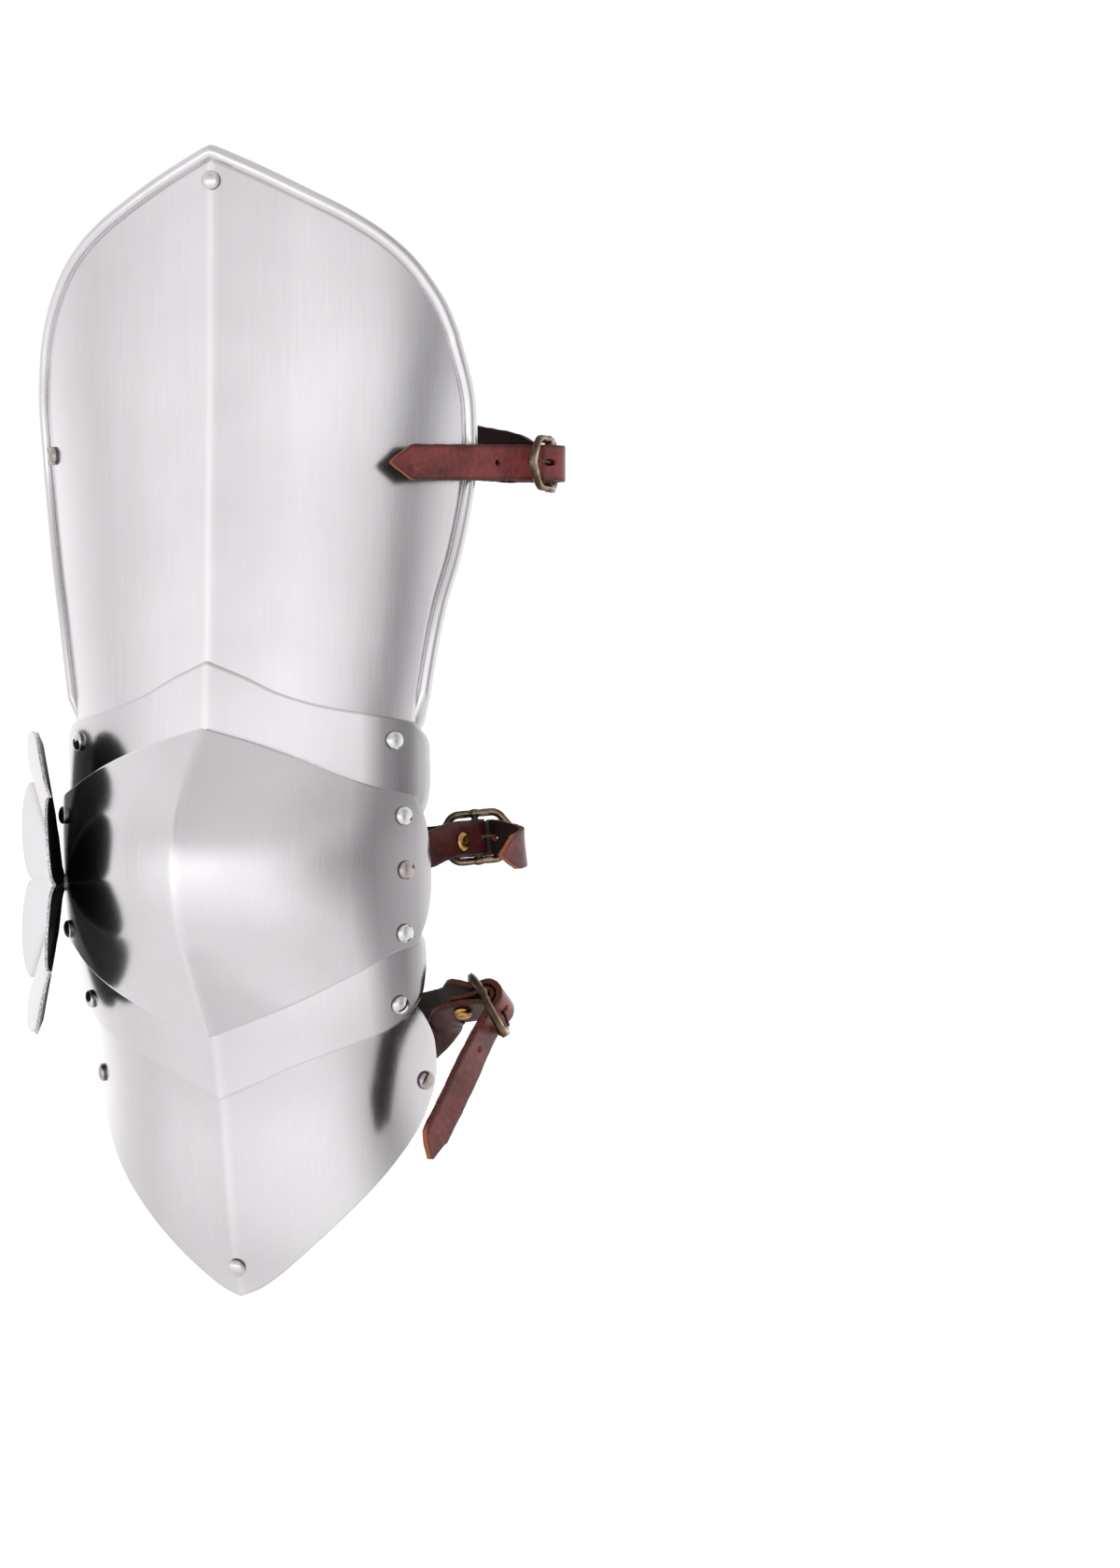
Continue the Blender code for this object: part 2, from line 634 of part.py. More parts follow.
spot = add_rivet("rivet_cuisse_top", 0.0, RIVET_TOP_Z, 0, False, PLATE + 1.2, root)
holes["cuisse"].append(hole(spot[0], spot[1], HOLE_R, 4.0))
spot = add_rivet("rivet_shin_point", 0.0, RIVET_POINT_Z, 0, False, PLATE + 1.9, hinge_shin)
holes["shin"].append(hole(spot[0], spot[1], HOLE_R, 4.0))
spot = add_rivet("rivet_thigh_outer", -RIVET_THIGH[1], RIVET_THIGH[0], 0, False, STRAP_GRIP,
                 root, STEEL_DARK, "steel_dark")
holes["cuisse"].append(hole(spot[0], spot[1], HOLE_R, 3.0))
thigh_outer = spot
spot = add_rivet("rivet_thigh_inner", RIVET_THIGH[1], RIVET_THIGH_INNER, 0, False, CHAPE_GRIP,
                 root)
holes["cuisse"].append(hole(spot[0], spot[1], HOLE_R, 3.0))
thigh_inner = spot
spot = add_rivet("rivet_knee_inner", RIVET_KNEE_STRAP[1], RIVET_KNEE_STRAP[0], 2, True,
                 CHAPE_GRIP, hinge_poleyn, STEEL_DARK, "steel_dark")
holes["poleyn"].append(hole(spot[0], spot[1], HOLE_R, 3.0))
knee_inner = spot
spot = add_rivet("rivet_calf_outer", -RIVET_CALF[1], RIVET_CALF[0], 0, False, STRAP_GRIP,
                 hinge_shin, STEEL_DARK, "steel_dark")
holes["shin"].append(hole(spot[0], spot[1], HOLE_R, 3.0))
calf_outer = spot
spot = add_rivet("rivet_calf_inner", RIVET_CALF[1], RIVET_CALF[0], 0, False, CHAPE_GRIP,
                 hinge_shin, STEEL_DARK, "steel_dark")
holes["shin"].append(hole(spot[0], spot[1], HOLE_R, 3.0))
calf_inner = spot

# ---------------------------------------------------------------- side wing
fan_base = leg_point(FAN_CENTRE[0], FAN_CENTRE[1], 2, True)
fan_face = Vector((-math.sin(math.radians(FAN_TURN)), -math.cos(math.radians(FAN_TURN)), 0.0))
fan_back = Vector((-fan_face.y, fan_face.x, 0.0))
if fan_back.y < 0:
    fan_back.negate()
FAN_SIDES = 48


def fan_radius(angle):
    """Scalloped outline: a shallow notch between neighbouring petals."""
    span = 2 * math.pi / FAN_PETALS
    turn = (angle % span) / span
    reach = FAN_NOTCH + (FAN_TIP - FAN_NOTCH) * math.sin(math.pi * turn) ** 0.55
    lean = FAN_FRONT if math.sin(angle) < 0 else FAN_REAR
    return reach * (1.0 + lean * math.sin(angle) ** 2)


def fan_lift(angle, radius):
    """Dish of the wing with a furrow between the petals."""
    span = 2 * math.pi / FAN_PETALS
    turn = (angle % span) / span
    furrow = math.exp(-min(turn, 1 - turn) * 16.0)
    boss = max(0.0, 1.0 - radius / 7.0)
    return FAN_DISH * radius - FAN_CREASE * furrow * min(1.0, radius / 30.0) + 1.0 * (1 - boss) - 1.0


def fan_shell():
    start = fan_base + fan_face * (GAP + 0.35 + PLATE)
    rings = (0.0, 0.2, 0.6, 1.0)
    verts = []
    faces = []
    for level in (0.0, -PLATE):
        for row, part in enumerate(rings):
            for k in range(FAN_SIDES):
                a = 2 * math.pi * k / FAN_SIDES
                r = HOLE_R if row == 0 else fan_radius(a) * part
                lift = fan_lift(a, r) + level
                verts.append(start + fan_face * lift + Vector((0, 0, 1)) * r * math.cos(a)
                             + fan_back * r * math.sin(a))
    total = len(rings) * FAN_SIDES
    for k in range(FAN_SIDES):
        m = (k + 1) % FAN_SIDES
        for row in range(len(rings) - 1):
            a = row * FAN_SIDES
            b = a + FAN_SIDES
            faces.append((a + k, a + m, b + m, b + k))
            faces.append((total + a + k, total + b + k, total + b + m, total + a + m))
        last = (len(rings) - 1) * FAN_SIDES
        faces.append((k, total + k, total + m, m))
        faces.append((last + k, last + m, total + last + m, total + last + k))
    return verts, faces


fan_verts, fan_faces = fan_shell()
add_object("fan_plate", fan_verts, fan_faces, hinge_poleyn, "steel_plate", STEEL, 25.0)
fan_rivet_at = fan_base + fan_face * (0.65 + PLATE)
fan_grip = 0.65 + PLATE + PLATE + 0.5 + STRAP_T + 0.6
verts, faces = turned(rivet_profile(fan_grip), fan_rivet_at, fan_face)
add_object("rivet_fan", verts, faces, hinge_poleyn, "steel", STEEL, 50.0)
holes["poleyn"].append(hole(fan_base, fan_face, HOLE_R, 3.5))

cut(cuisse, holes["cuisse"])
cut(upper, holes["upper"])
cut(poleyn, holes["poleyn"])
cut(lower, holes["lower"])
cut(shin, holes["shin"])

# ---------------------------------------------------------------- straps and buckles
UP = Vector((0.0, 0.0, 1.0))
thigh_buckle = BuckleFrame((128.5, 12.8, -5.2), (0.0, -1.0, 0.0), (0.0, 0.0, 1.0))
knee_buckle = BuckleFrame((94.6, 16.0, -166.6), (0.949, 0.299, 0.1), (-0.095, -0.030, 0.995))
calf_buckle = BuckleFrame((106.0, 2.0, -238.0), (0.582, -0.488, -0.655), (0.092, 0.836, -0.544))
if thigh_buckle.out.x < 0:
    thigh_buckle.out.negate()
if knee_buckle.out.y > 0:
    knee_buckle.out.negate()
if calf_buckle.out.x < 0:
    calf_buckle.out.negate()


def along_wall(x_start, x_end, z, layer, dome, depth, count=3, z_end=None):
    """Rows that follow the inside of a plate's side wall, from x_start to its edge."""
    rows = []
    z_end = z if z_end is None else z_end
    for k in range(count):
        t = k / (count - 1)
        x = x_start + (x_end - x_start) * t
        height = z + (z_end - z) * t
        normal = leg_normal(x, height, layer, dome)
        point = leg_point(x, height, layer, dome) - normal * depth
        ahead = (leg_point(x_end, z_end, layer, dome)
                 - leg_point(x_start, z, layer, dome)).normalized()
        across = ahead.cross(normal).normalized()
        if across.z < 0:
            across.negate()
        rows.append((point, across))
    return rows


def rows_of(table, across=UP):
    return [(Vector(place), Vector(across)) for place in zip(table["x"], table["y"], table["z"])]


def double_back(place, rows):
    """The strap goes out through one loop, over the centre bar and back through the other."""
    return [(place.at(along, out), place.bars) for along, out in rows]


THIGH_TURN = ((-6.7, -5.0), (-6.5, 0.4), (-4.5, 4.2), (0.0, 6.0), (4.7, 4.3), (6.8, 0.6),
              (6.9, -5.0))
CALF_TURN = ((-14.0, -8.0), (-10.6, -5.4), (-7.5, -2.1), (-6.6, 1.2), (-4.8, 4.6), (0.0, 6.4),
             (4.9, 4.6), (6.7, 1.2), (7.5, -2.1))
STRAP_DEPTH = PLATE + 0.55 + STRAP_T / 2
CHAPE_DEPTH = PLATE + 0.55 + CHAPE_T / 2

# thigh: round the back of the leg, through the buckle, tail in front of the plate
THIGH_BACK = {"x": (-99.0, -92.0, -62.0, 0.0, 58.0, 94.0, 110.0),
              "y": (14.0, 36.0, 62.0, 74.0, 62.0, 36.5, 26.0),
              "z": (2.0, 3.0, 10.0, 15.5, 13.0, 5.8, 1.6)}
THIGH_TAIL = {"x": (113.5, 104.5, 95.3, 86.3, 77.5), "y": (-3.5, -14.0, -25.0, -36.0, -46.0),
              "z": (-5.6, -6.2, -6.8, -7.4, -7.9)}
rows = along_wall(-85.0, -97.0, 2.0, 0, False, STRAP_DEPTH)
rows += rows_of(THIGH_BACK) + double_back(thigh_buckle, THIGH_TURN) + rows_of(THIGH_TAIL)
thigh_rows = smooth_path(rows)
verts, faces = ribbon(thigh_rows, STRAP_T, STRAP_W, 10.0)
thigh_strap = add_object("strap_thigh", verts, faces, root, "leather", LEATHER)

# knee: tail comes forward through the far loop
KNEE_BACK = {"x": (-86.0, -84.0, -62.0, 0.0, 52.0, 80.0, 94.0),
             "y": (-2.0, 18.0, 50.0, 68.0, 57.0, 41.0, 30.5),
             "z": (-183.0, -182.0, -180.0, -176.0, -171.0, -168.5, -167.5)}
KNEE_TAIL = ((6.8, -4.5, 0.0), (7.3, 0.4, 0.0), (11.0, 5.6, -0.5), (16.6, 9.4, -2.0),
             (20.0, 14.0, -3.5), (19.7, 19.3, -5.0), (16.4, 25.3, -6.3), (11.0, 32.0, -7.3))
rows = along_wall(-72.0, -84.0, -184.0, 2, True, STRAP_DEPTH + 0.2)
rows += rows_of(KNEE_BACK)
for along, out, up in KNEE_TAIL:
    rows.append((knee_buckle.at(along, out) + UP * (up - 0.1 * along), knee_buckle.bars))
knee_rows = smooth_path(rows)
verts, faces = ribbon(knee_rows, STRAP_T, STRAP_W, 10.0)
knee_strap = add_object("strap_knee", verts, faces, hinge_poleyn, "leather", LEATHER)

# calf: round the calf, through the buckle, tail hanging down
CALF_BACK = {"x": (-80.5, -80.0, -58.0, 0.0, 46.0, 70.0, 83.0),
             "y": (16.0, 36.0, 66.0, 82.0, 66.0, 40.0, 20.5),
             "z": (-270.0, -267.0, -260.0, -252.0, -246.5, -242.0, -238.2)}
CALF_TAIL = {"x": (105.1, 102.8, 100.3, 95.5, 90.7, 89.9),
             "y": (-9.0, -14.0, -20.0, -24.0, -28.0, -31.0),
             "z": (-253.5, -261.1, -269.9, -282.0, -293.9, -302.5)}
calf_width = -calf_buckle.bars
tail_width = Vector((-0.342, -0.894, 0.284))
rows = along_wall(-68.0, -78.6, -272.0, 0, False, STRAP_DEPTH)
for twist, (place, across) in zip((0, 0, 0, 0, 0.15, 0.45, 0.75), rows_of(CALF_BACK)):
    rows.append((place, (across * (1.0 - twist) + calf_width * twist).normalized()))
rows += [(place, calf_width) for place, across in double_back(calf_buckle, CALF_TURN)]
for twist, (place, across) in zip((0.3, 0.6, 0.9, 1.0, 1.0, 1.0), rows_of(CALF_TAIL)):
    rows.append((place, (calf_width * (1.0 - twist) + tail_width * twist).normalized()))
calf_rows = smooth_path(rows)
verts, faces = ribbon(calf_rows, STRAP_T, STRAP_W, 10.0)
calf_strap = add_object("strap_calf", verts, faces, hinge_shin, "leather", LEATHER)


def folded_chape(start_rows, place, turn_rows, across=None):
    rows = list(start_rows)
    for along, out in turn_rows:
        rows.append((place.at(along, out), across or place.bars))
    return smooth_path(rows, 7.0)


def fold(side, reach):
    """Chape leather round the centre bar: rows of (along, out), from the plate and back."""
    rows = ((-1.6, -reach - 1.5), (-1.5, -9.0), (-2.6, -2.6), (-3.1, 0.6), (-1.9, 2.6), (0.0, 3.2),
            (1.9, 2.6), (3.1, 0.6), (2.6, -2.6), (1.5, -9.0), (1.6, -reach))
    return [(side * along, out) for along, out in rows]


knee_chape_place = knee_buckle.swung(-145.0)
calf_chape_place = calf_buckle.swung(-25.0)

chape = along_wall(84.0, 96.5, RIVET_THIGH_INNER, 0, False, CHAPE_DEPTH, 3, -4.6)
chape.append((Vector((103.0, 8.0, -4.8)), UP))
path = folded_chape(chape, thigh_buckle, fold(1, 15.5))
verts, faces = ribbon(path, CHAPE_T, STRAP_W)
thigh_chape = add_object("chape_thigh", verts, faces, root, "leather", LEATHER)

chape = along_wall(71.0, 85.5, -182.0, 2, True, CHAPE_DEPTH, 3, -172.8)
path = folded_chape(chape, knee_chape_place, fold(1, 18.5))
verts, faces = ribbon(path, CHAPE_T, STRAP_W)
knee_chape = add_object("chape_knee", verts, faces, hinge_poleyn, "leather", LEATHER)

chape = along_wall(71.5, 77.8, -276.0, 0, False, CHAPE_DEPTH + 0.15, 3, -259.0)
chape.append((Vector((80.6, 10.0, -252.5)), Vector((-0.30, -0.80, 0.50))))
chape.append((Vector((84.2, 5.6, -246.8)), Vector((-0.22, -0.82, 0.54))))
path = folded_chape(chape, calf_chape_place, fold(-1, 16.5), calf_width)
verts, faces = ribbon(path, CHAPE_T, STRAP_W)
calf_chape = add_object("chape_calf", verts, faces, hinge_shin, "leather", LEATHER)

buckles = {"thigh": (thigh_buckle, root), "knee": (knee_buckle, hinge_poleyn),
           "calf": (calf_buckle, hinge_shin)}
for label, (place, parent) in buckles.items():
    add_buckle("buckle_" + label, place, parent)
    add_tongue("tongue_" + label, place, parent)

# brass rivet that closes each chape
BRASS_HEAD = [(0.0, 1.9), (2.6, 1.5), (4.0, 0.35), (1.5, 0.05)]


def brass_rivet(name, centre, axis, parent, grip=6.5):
    profile = BRASS_HEAD + [(1.5, -grip), (2.2, -grip - 0.05), (1.6, -grip - 0.9),
                            (0.0, -grip - 0.9)]
    verts, faces = turned(profile, centre, axis)
    add_object(name, verts, faces, parent, "brass", BRASS, 50.0)
    return hole(centre - axis * 3.0, axis, 1.8, 4.6)


def box_cut(place, along, out, size_along, size_out, size_bars):
    corners = []
    for a in (-1, 1):
        for b in (-1, 1):
            for c in (-1, 1):
                corners.append(place.at(along + a * size_along / 2, out + b * size_out / 2,
                                        c * size_bars / 2))
    faces = [(0, 1, 3, 2), (4, 6, 7, 5), (0, 4, 5, 1), (2, 3, 7, 6), (0, 2, 6, 4), (1, 5, 7, 3)]
    return corners, faces


thigh_hole = brass_rivet("brass_thigh", thigh_buckle.at(3.1, -11.5), thigh_buckle.along, root)
knee_hole = brass_rivet("brass_knee", knee_chape_place.at(-3.1, -14.4, -1.2), -knee_chape_place.along,
                        hinge_poleyn)
calf_hole = brass_rivet("brass_calf", calf_chape_place.at(3.1, -12.5, -1.5), calf_chape_place.along,
                        hinge_shin)

cut(thigh_chape, [hole(thigh_inner[0], thigh_inner[1], HOLE_R, 6.0), thigh_hole,
                  box_cut(thigh_buckle, 0.0, 0.5, 9.5, 8.6, 2.6)])
cut(knee_chape, [hole(knee_inner[0], knee_inner[1], HOLE_R, 6.0), knee_hole,
                 box_cut(knee_chape_place, 0.0, 0.5, 9.5, 8.6, 2.6)])
cut(calf_chape, [hole(calf_inner[0], calf_inner[1], HOLE_R, 6.0), calf_hole,
                 box_cut(calf_chape_place, 0.0, 0.5, 9.5, 8.6, 2.6)])
fan_hole = hole(fan_rivet_at, fan_face, HOLE_R, 9.0)
cut(thigh_strap, [hole(thigh_outer[0], thigh_outer[1], HOLE_R, 6.0),
                  box_cut(thigh_buckle, 6.8, 2.9, 8.4, 3.8, 3.0)])
cut(knee_strap, [fan_hole, box_cut(knee_buckle, 10.4, 2.3, 8.0, 3.8, 3.0)])
cut(calf_strap, [hole(calf_outer[0], calf_outer[1], HOLE_R, 6.0),
                 box_cut(calf_buckle, 6.8, 2.9, 8.4, 3.8, 3.0)])
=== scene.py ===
# %% [markdown]
# # One thigh harness: cuisse, knee and shin plate
# A cuisse is the plate that covers the thigh. This one carries an articulated knee, the poleyn,
# on narrow lames, with a petalled wing at its outer side and a short pointed shin plate below.
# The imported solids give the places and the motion. This lesson dresses them: fine plates over
# the faceted ones, turned rivets, strap leather laid along its route, cast buckles, and finishes
# made of nodes.

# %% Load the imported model
import json
import math

import bpy
import numpy as np
from mathutils import Matrix, Vector


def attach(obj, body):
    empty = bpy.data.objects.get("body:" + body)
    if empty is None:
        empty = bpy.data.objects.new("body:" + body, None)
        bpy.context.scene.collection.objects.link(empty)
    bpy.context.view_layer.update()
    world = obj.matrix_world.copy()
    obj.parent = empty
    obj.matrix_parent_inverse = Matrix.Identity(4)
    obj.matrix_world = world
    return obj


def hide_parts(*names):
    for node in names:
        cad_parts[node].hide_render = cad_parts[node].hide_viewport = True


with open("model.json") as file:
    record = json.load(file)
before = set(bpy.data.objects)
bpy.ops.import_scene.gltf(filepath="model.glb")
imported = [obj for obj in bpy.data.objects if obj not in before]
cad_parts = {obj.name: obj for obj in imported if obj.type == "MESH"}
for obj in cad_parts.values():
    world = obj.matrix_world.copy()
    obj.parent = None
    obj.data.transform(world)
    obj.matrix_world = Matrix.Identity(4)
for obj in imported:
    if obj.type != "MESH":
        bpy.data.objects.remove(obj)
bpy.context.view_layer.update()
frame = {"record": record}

MM = 0.001

# %% [markdown]
# ## Working by hand, from code
# An operator acts on whatever is selected, so each step first picks its piece and nothing else.
# A modifier is added and applied in one go, which leaves an ordinary mesh behind.

# %% Picking and applying
def pick(piece):
    bpy.ops.object.select_all(action="DESELECT")
    piece.select_set(True)
    bpy.context.view_layer.objects.active = piece


def apply_step(piece, kind, **settings):
    pick(piece)
    step = piece.modifiers.new(kind.lower(), kind)
    for key, value in settings.items():
        setattr(step, key, value)
    bpy.ops.object.modifier_apply(modifier=step.name)


def primitive(name, add, **settings):
    """A new primitive, with nothing else selected."""
    bpy.ops.object.select_all(action="DESELECT")
    add(**settings)
    piece = bpy.context.active_object
    piece.name = piece.data.name = name
    return piece


def from_points(name, points, edges, faces):
    """A piece from a list of places in millimetres."""
    mesh = bpy.data.meshes.new(name)
    mesh.from_pydata([(x * MM, y * MM, z * MM) for x, y, z in points], edges, faces)
    piece = bpy.data.objects.new(name, mesh)
    bpy.context.scene.collection.objects.link(piece)
    return piece


def copy_of(pattern, name):
    piece = pattern.copy()
    piece.data = pattern.data.copy()
    piece.name = piece.data.name = name
    bpy.context.scene.collection.objects.link(piece)
    return piece


def place_points(piece, points):
    piece.data.vertices.foreach_set("co", np.asarray(points, dtype=float).ravel() * MM)
    piece.data.update()


def get_points(piece):
    flat = np.empty(len(piece.data.vertices) * 3)
    piece.data.vertices.foreach_get("co", flat)
    return flat.reshape(-1, 3) / MM


def edit(piece, *calls):
    pick(piece)
    bpy.ops.object.mode_set(mode="EDIT")
    bpy.ops.mesh.select_all(action="SELECT")
    for call in calls:
        call()
    bpy.ops.object.mode_set(mode="OBJECT")


def smooth(piece, degrees):
    pick(piece)
    bpy.ops.object.shade_smooth_by_angle(angle=math.radians(degrees))


def break_edges(piece, width, degrees):
    """A small bevel on every edge that is sharper than the angle."""
    apply_step(piece, "BEVEL", width=width * MM, segments=2, limit_method="ANGLE",
               angle_limit=math.radians(degrees))


def mark(piece, name, values, field="value", kind="FLOAT"):
    """Store one value for each point, for a finish to read."""
    attribute = piece.data.attributes.new(name, kind, "POINT")
    attribute.data.foreach_set(field, values)


def triangles(piece):
    return sum(len(face.vertices) - 2 for face in piece.data.polygons)


fine = {}      # every finished piece by the name of the CAD node it stands for
print("helpers ready")

# %% [markdown]
# ## The shape of the leg
# All the plates are beaten over one form. Down the leg its section changes: a table gives the
# place of the medial ridge, the radius of the section and the depth of the crease at a few
# heights. The poleyn adds a dome with a keel on top. A smooth curve through the table, blurred a
# little, keeps the reflections on polished steel free of steps.

# %% Section tables, in millimetres
PLATE = 1.2            # thickness of the sheet
LAYER_FRONT = 2.1      # step from one plate to the plate over it, at the ridge
LAYER_SIDE = 3.1       # and at the side, SIDE_X from the ridge
SIDE_X = 80.0
LEAST_SLOPE = 0.45     # keeps the step finite where the side turns away
RIDGE_SPREAD = 14.0    # how far the crease beside the ridge reaches
RIDGE_ROUND = 0.7      # radius of the ridge itself
LEG = {
    "z":      (-366.0, -345.0, -310.0, -280.0, -257.0, -237.0, -205.0, -160.0, -120.0,
               -73.0, 0.0, 50.0, 130.0),
    "ridge":  (-22.0, -30.8, -38.5, -43.6, -49.6, -55.4, -59.0, -60.3, -60.2,
               -59.0, -57.2, -56.4, -55.6),
    "radius": (92.0, 95.0, 94.0, 89.0, 87.0, 89.5, 93.5, 98.0, 100.0,
               112.0, 125.0, 141.0, 142.0),
    "crease": (4.5, 4.5, 4.5, 4.5, 4.2, 3.6, 3.0, 2.6, 2.5,
               2.5, 2.5, 2.3, 2.2),
}
DOME = {
    "z":     (-253.0, -240.0, -225.0, -202.0, -177.0, -160.0, -140.0, -130.0, -119.0),
    "proud": (1.0, 7.5, 16.0, 29.0, 33.0, 30.5, 19.5, 11.0, 0.5),
    "round": (0.0, 0.15, 0.30, 0.50, 0.60, 0.50, 0.25, 0.12, 0.0),
}
DOME_X = 88.0
print("leg table: %d heights from %.0f to %.0f mm" % (len(LEG["z"]), LEG["z"][0], LEG["z"][-1]))


# %% Read a table smoothly
def read(table, by, column, value):
    """Smooth value of a table's column at a given value of another column."""
    keys, data = table[by], table[column]
    if value <= keys[0]:
        return data[0]
    if value >= keys[-1]:
        return data[-1]
    i = 0
    while value > keys[i + 1]:
        i += 1
    step = keys[i + 1] - keys[i]
    t = (value - keys[i]) / step
    slope = (data[i + 1] - data[i]) / step
    before = after = slope
    if i > 0:
        before = (data[i] - data[i - 1]) / (keys[i] - keys[i - 1])
    if i + 2 < len(keys):
        after = (data[i + 2] - data[i + 1]) / (keys[i + 2] - keys[i + 1])
    m0 = 0.0 if before * slope <= 0 else 0.5 * (before + slope)
    m1 = 0.0 if after * slope <= 0 else 0.5 * (after + slope)
    m0 = slope if i == 0 else m0
    m1 = slope if i + 2 == len(keys) else m1
    return ((2 * t ** 3 - 3 * t ** 2 + 1) * data[i] + (t ** 3 - 2 * t ** 2 + t) * step * m0
            + (3 * t ** 2 - 2 * t ** 3) * data[i + 1] + (t ** 3 - t ** 2) * step * m1)


print("ridge half-way down the knee: y = %.1f mm" % read(LEG, "z", "ridge", -186.5))

# %% Blur the columns
FORM_STEP = 0.5
FORM_Z = np.arange(-372.0, 136.0, FORM_STEP)


def even_column(table, column, blur):
    """A column read at every height of FORM_Z, then blurred by so many millimetres."""
    raw = np.array([read(table, "z", column, z) for z in FORM_Z])
    reach = int(blur * 8)
    weights = np.exp(-0.5 * (np.arange(-reach, reach + 1) * FORM_STEP / blur) ** 2)
    padded = np.pad(raw, reach, mode="reflect", reflect_type="odd")
    return np.convolve(padded, weights / weights.sum(), mode="valid")


COLUMNS = {key: even_column(LEG, key, 7.0) for key in ("ridge", "radius", "crease")}
COLUMNS["proud"] = even_column(DOME, "proud", 3.5)
COLUMNS["round"] = even_column(DOME, "round", 5.0)
print("form read at %d heights" % len(FORM_Z))


# %% Depth and direction of a plate's face
def leg_y(x, z, layer=0, dome=False):
    """Depth of the plate's outer face; works on numbers and on arrays."""
    x = np.abs(x)
    near = np.sqrt(x * x + RIDGE_ROUND ** 2) - RIDGE_ROUND
    at = {key: np.interp(z, FORM_Z, values) for key, values in COLUMNS.items()}
    radius = at["radius"]
    layer_step = LAYER_FRONT + (LAYER_SIDE - LAYER_FRONT) * np.minimum(1.0, (x / SIDE_X) ** 2)
    y = at["ridge"] + radius - np.sqrt(radius ** 2 - np.minimum(x, radius - 2) ** 2)
    y = y + at["crease"] * (1.0 - np.exp(-near / RIDGE_SPREAD))
    if layer:
        slope = np.sqrt(np.maximum(0, 1 - (x / radius) ** 2))
        y = y - layer * layer_step / np.maximum(LEAST_SLOPE, slope)
    if dome:
        t = np.minimum(1.0, near / DOME_X)
        y = y - at["proud"] * (1.0 - t) * (1.0 + at["round"] * t)
    return y


def leg_point(x, z, layer=0, dome=False):
    return Vector((x, float(leg_y(x, z, layer, dome)), z))


def leg_normal(x, z, layer=0, dome=False):
    across = Vector((1.0, 0.0, 0.0))
    if abs(x) >= 2.0:
        across = leg_point(x + 1, z, layer, dome) - leg_point(x - 1, z, layer, dome)
    up = leg_point(x, z + 1, layer, dome) - leg_point(x, z - 1, layer, dome)
    return across.cross(up).normalized()


print("ridge at the thigh strap: y = %.1f mm" % leg_y(0.0, 0.0))
print("knee dome: y = %.1f mm" % leg_y(0.0, -177.0, 2, True))

# %% [markdown]
# ## Plates
# A sheet of steel is cut to an outline and dished over the form. The same happens here: a flat
# grid primitive is stretched to the outline, a four-sided patch between a top edge, two side
# edges and a bottom edge, and each of its points is then laid on the form. Solidify gives the
# sheet its thickness, and a small bevel takes the sharpness off the cut edge.

# %% Outlines of the plates, from the ridge outwards
CUISSE = {
    "top":    {"x": (0.0, 20.0, 40.5, 57.0, 69.5, 79.0, 85.1, 90.0, 93.3),
               "z": (122.6, 113.4, 103.0, 94.2, 85.5, 76.0, 67.0, 57.5, 47.5)},
    "side":   {"z": (-131.0, -118.0, -102.0, -67.0, -44.0, -11.5, 5.0, 23.5, 47.5),
               "x": (78.0, 78.8, 80.8, 86.6, 91.9, 96.9, 97.8, 97.6, 93.3)},
    "bottom": {"x": (0.0, 40.0, 78.0), "z": (-128.0, -130.0, -131.0)},
}
UPPER = {
    "top":    {"x": (0.0, 16.0, 29.5, 44.5, 59.5, 72.5, 80.0),
               "z": (-91.4, -98.0, -104.6, -109.6, -112.8, -115.2, -117.0)},
    "side":   {"z": (-163.0, -150.0, -132.0, -124.0, -117.0), "x": (80.0, 84.0, 84.6, 84.0, 80.0)},
    "bottom": {"x": (0.0, 40.0, 80.0), "z": (-156.0, -159.0, -163.0)},
}
POLEYN = {
    "top":    {"x": (0.0, 24.0, 45.0, 60.0, 70.0, 82.5),
               "z": (-119.8, -126.6, -134.2, -140.6, -144.6, -148.5)},
    "side":   {"z": (-212.0, -200.0, -180.0, -160.0, -148.5), "x": (81.5, 84.6, 86.2, 85.2, 82.5)},
    "bottom": {"x": (0.0, 25.0, 40.0, 62.0, 75.0, 81.5),
               "z": (-251.5, -242.0, -235.6, -223.6, -215.0, -212.0)},
}
LOWER = {
    "top":    {"x": (0.0, 40.0, 65.0, 77.0), "z": (-229.0, -222.0, -208.0, -201.0)},
    "side":   {"z": (-244.0, -236.0, -226.0, -212.0, -201.0), "x": (73.5, 78.6, 80.8, 81.6, 77.0)},
    "bottom": {"x": (0.0, 18.0, 30.0, 43.0, 57.0, 67.0, 73.5),
               "z": (-278.8, -270.6, -264.8, -259.6, -254.0, -249.4, -244.0)},
}
SHIN = {
    "top":    {"x": (0.0, 35.0, 60.0, 73.0), "z": (-254.0, -246.0, -236.0, -231.0)},
    "side":   {"z": (-300.0, -293.0, -283.0, -272.0, -256.0, -243.0, -231.0),
               "x": (70.0, 73.4, 76.6, 78.8, 79.4, 77.5, 73.0)},
    "bottom": {"x": (0.0, 8.0, 15.0, 30.0, 46.6, 57.0, 64.0, 70.0),
               "z": (-365.5, -362.5, -358.0, -345.6, -329.8, -318.5, -309.5, -300.0)},
}
print("thigh plate: %.0f mm wide inside its rims" % (2 * max(CUISSE["side"]["x"])))


